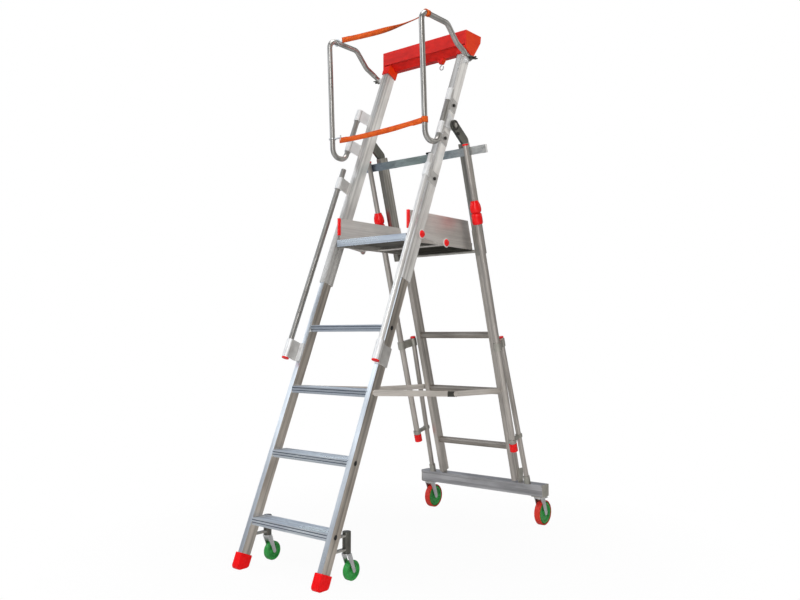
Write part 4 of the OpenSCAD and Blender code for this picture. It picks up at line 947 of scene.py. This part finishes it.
# %% [markdown]
# Collars, washers, plugs and bolt heads are turned parts. A cylinder with a bevel would come close, but a
# profile of radius and height that is spun round the part's axis gives any outline in one go. A profile of
# a ring is closed. One that starts on the axis stays open, because the spin closes it at its poles.

# %% Turned parts
RING_STEPS = 48


def spun_ring(name, centre, axis, profile, material, body):
    bm = bmesh.new()
    axis = Vector(axis).normalized()
    out = Vector((1, 0, 0)) if abs(axis.x) < 0.5 else Vector((0, 0, 1))
    out = (out - axis * out.dot(axis)).normalized()
    verts = [bm.verts.new(Vector(centre) + (out * r + axis * h) * MM) for r, h in profile]
    spans = len(verts) if profile[0][0] else len(verts) - 1
    edges = [bm.edges.new((verts[i], verts[(i + 1) % len(verts)])) for i in range(spans)]
    bmesh.ops.spin(bm, geom=verts + edges, cent=Vector(centre), axis=axis, angle=math.tau,
                   steps=RING_STEPS, use_merge=True)
    bmesh.ops.remove_doubles(bm, verts=bm.verts, dist=1e-6)
    bmesh.ops.recalc_face_normals(bm, faces=bm.faces)
    return new_piece(name, bm, material, body, 50)


def middle_of(node):
    low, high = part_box(node)
    return (low + high) / 2


print("a turned part has", RING_STEPS, "steps")

# %% [markdown]
# The twist collars on the sleeve tubes are glossy barrels, fuller in the middle than at the ends. The clamp
# below each collar gets a second, smaller barrel as its skin, so that the pair shows a waist. The clamp's
# barrel ends a little below the collar, because faces that lie together would flicker as the collar turns.

# %% Twist collars
REAR_AXIS = Vector((0, -math.sin(REAR_LEAN), math.cos(REAR_LEAN)))
CLAMP_DROP = 56.3
collar_profile = [(12.8, -30), (16.5, -30), (20.5, -28.2), (23.8, -24.6), (26.0, -19), (27.0, -11),
                  (26.6, -2), (25.0, 8), (22.6, 16), (20.2, 22), (19.0, 26), (18.8, 30), (12.8, 30)]
clamp_profile = [(15.6, -26.3), (20.6, -26.3), (23.6, -23.8), (24.8, -18), (25.4, -8), (25.4, 8),
                 (24.8, 18), (23.6, 23.6), (20.6, 25.8), (15.6, 25.8)]
for side in ("left", "right"):
    node = "collar_" + side
    middle = middle_of(node)
    collar = spun_ring(node + "_barrel", middle, REAR_AXIS, collar_profile, bright_red,
                       node)
    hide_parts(node)
    below = middle - REAR_AXIS * CLAMP_DROP * MM
    spun_ring("clamp_%s_barrel" % side, below, REAR_AXIS, clamp_profile, bright_red,
              body_of_node["tube_clamps"])
print("collar height", round(middle.z, 3))

# %% [markdown]
# Each tread is held by a fixing whose open end shows as a black oval on the side of the stile. A black
# plastic plug closes it: a circle that is stretched and extruded.

# %% Tread plugs
PLUG_X, PLUG_BACK, PLUG_HALVES, PLUG_PROUD = 245.4, 24, (10.4, 7.4), 1.2
oval = Matrix.Diagonal((PLUG_HALVES[0] * MM, PLUG_HALVES[1] * MM, 1, 1))
plug_heights = [TREAD_TOP + TREAD_PITCH * step - TREAD_HALF for step in sorted(nose_of_tread)]
plug_bm = bmesh.new()
for z in plug_heights:
    for sign in (-1, 1):
        place = Matrix.Translation(Vector((sign * PLUG_X, front_y(z) + PLUG_BACK, z)) * MM)
        turn = Matrix.Rotation(-FRONT_LEAN, 4, "X") @ Matrix.Rotation(sign * math.pi / 2, 4, "Y")
        made = bmesh.ops.create_circle(plug_bm, cap_ends=True, segments=24, radius=1.0,
                                       matrix=place @ turn @ oval)
        face = made["verts"][0].link_faces[0]
        grown = bmesh.ops.extrude_face_region(plug_bm, geom=[face])["geom"]
        front = [g for g in grown if isinstance(g, bmesh.types.BMVert)]
        bmesh.ops.translate(plug_bm, verts=front, vec=Vector((sign * PLUG_PROUD * MM, 0, 0)))
bmesh.ops.recalc_face_normals(plug_bm, faces=plug_bm.faces)
new_piece("tread_plugs", plug_bm, black_plastic, "lower_front")
print("tread plugs at", plug_heights)

# %% [markdown]
# The hinge eyes carry a dark spacer ring round the pin, and each arm has a domed bolt lower down. The red
# plugs of the platform are domed and sit in pale washers. All these are turned parts, so a short profile is
# spun round the bolt's axis.

# %% Turned fixings
HEAD_GAP, LINK_GAP = 0.0002, 0.0001
BOLT_BACK, BOLT_DROP = 0.023, 0.036
LINK_END, PLUG_SUNK = 0.014, 0.0072
ring_profile = [(17.5, 0), (23.5, 0), (24.2, 0.8), (23.5, 1.8), (17.5, 1.8)]
bolt_profile = [(0, 0), (8.5, 0), (8.5, 3.0), (7.2, 4.6), (4.0, 5.6), (0, 5.9)]
washer_profile = [(15.0, 0), (21.5, 0), (21.5, 1.0), (20.6, 1.7), (15.0, 1.7)]
dome_profile = [(0, 0), (16.6, 0), (17.2, 0.9), (16.8, 2.8), (14.8, 5.0), (10.6, 6.8), (5.6, 7.6), (0, 7.8)]
hinge, pin = middle_of("hinge_pins"), middle_of("platform_pins")
head_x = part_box("hinge_heads")[1].x + HEAD_GAP
link_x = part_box("platform_links")[1].x + LINK_GAP
plug_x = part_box("platform_pins")[1].x - PLUG_SUNK
trim_low, trim_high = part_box("platform_trims")
pin_body = body_of_node["platform_pins"]
for side, sign in SIDES:
    eye = (sign * head_x, hinge.y, hinge.z)
    bolt = (sign * head_x, hinge.y + BOLT_BACK, hinge.z - BOLT_DROP)
    pivot = (sign * link_x, pin.y, pin.z)
    link_head = (sign * link_x, trim_high.y - LINK_END, trim_low.z + LINK_END)
    plug = (sign * plug_x, pin.y, pin.z)
    for name, place, profile, material, body, slot in (
            ("hinge_ring_", eye, ring_profile, dark_cast, "rear_upper", "dark_metal"),
            ("hinge_bolt_", bolt, bolt_profile, dark_cast, "rear_upper", "dark_metal"),
            ("pivot_washer_", pivot, washer_profile, pale_metal, "platform", "dull_aluminium"),
            ("link_washer_", link_head, washer_profile, pale_metal, "platform", "dull_aluminium"),
            ("link_plug_", link_head, dome_profile, bright_red, "platform", "red_plastic"),
            ("pivot_plug_", plug, dome_profile, bright_red, pin_body, "red_plastic")):
        spun_ring(name + side, place, (sign, 0, 0), profile, material, body)
print("hinge at", round(hinge.y, 3), round(hinge.z, 3))

# %% [markdown]
# The two links of each stay meet in a dark steel sleeve. It is a flat box on the outside of the front link,
# tilted as the link is, with its edges rounded.

# %% Stay sleeves
SLEEVE_SIZE, SLEEVE_TILT, SLEEVE_ROUND = (0.0026, 0.072, 0.0258), math.radians(-3.5), 0.001
SLEEVE_OUT, SLEEVE_BACK, SLEEVE_UP = 0.0014, 0.036, 0.0135
stay_low, stay_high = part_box("stay_front_links")
shape = Matrix.Rotation(SLEEVE_TILT, 4, "X") @ Matrix.Diagonal((*SLEEVE_SIZE, 1))
for side, sign in SIDES:
    bm = bmesh.new()
    middle = Vector((sign * (stay_high.x + SLEEVE_OUT), stay_high.y - SLEEVE_BACK, stay_low.z + SLEEVE_UP))
    bmesh.ops.create_cube(bm, size=1.0, matrix=Matrix.Translation(middle) @ shape)
    bmesh.ops.bevel(bm, geom=bm.edges[:], offset=SLEEVE_ROUND, affect="EDGES", segments=2, profile=0.5,
                    material=-1)
    new_piece("stay_sleeve_" + side, bm, head_metal, "stay_front")
print("stay sleeves at", round(middle.y, 3), round(middle.z, 3))

# %% [markdown]
# Round tubes, rungs, hooks and tyres have the right shape already and no edge that shows. They keep their
# own mesh and take only a finish.

# %% Solids that keep their own mesh
kept = {"rungs": cross_metal, "guide_tubes": rear_metal, "sleeve_tubes": rear_metal,
        "brace_tubes": rear_metal, "platform_rest": dull_metal, "hinge_pins": dull_metal, "tray_hook": zinc,
        "strap_hooks": zinc, "rear_tyre_left": tread_rubber, "rear_tyre_right": tread_rubber}
for node, material in kept.items():
    nodes[node].data.materials.clear()
    nodes[node].data.materials.append(material)
print("kept solids", len(kept))
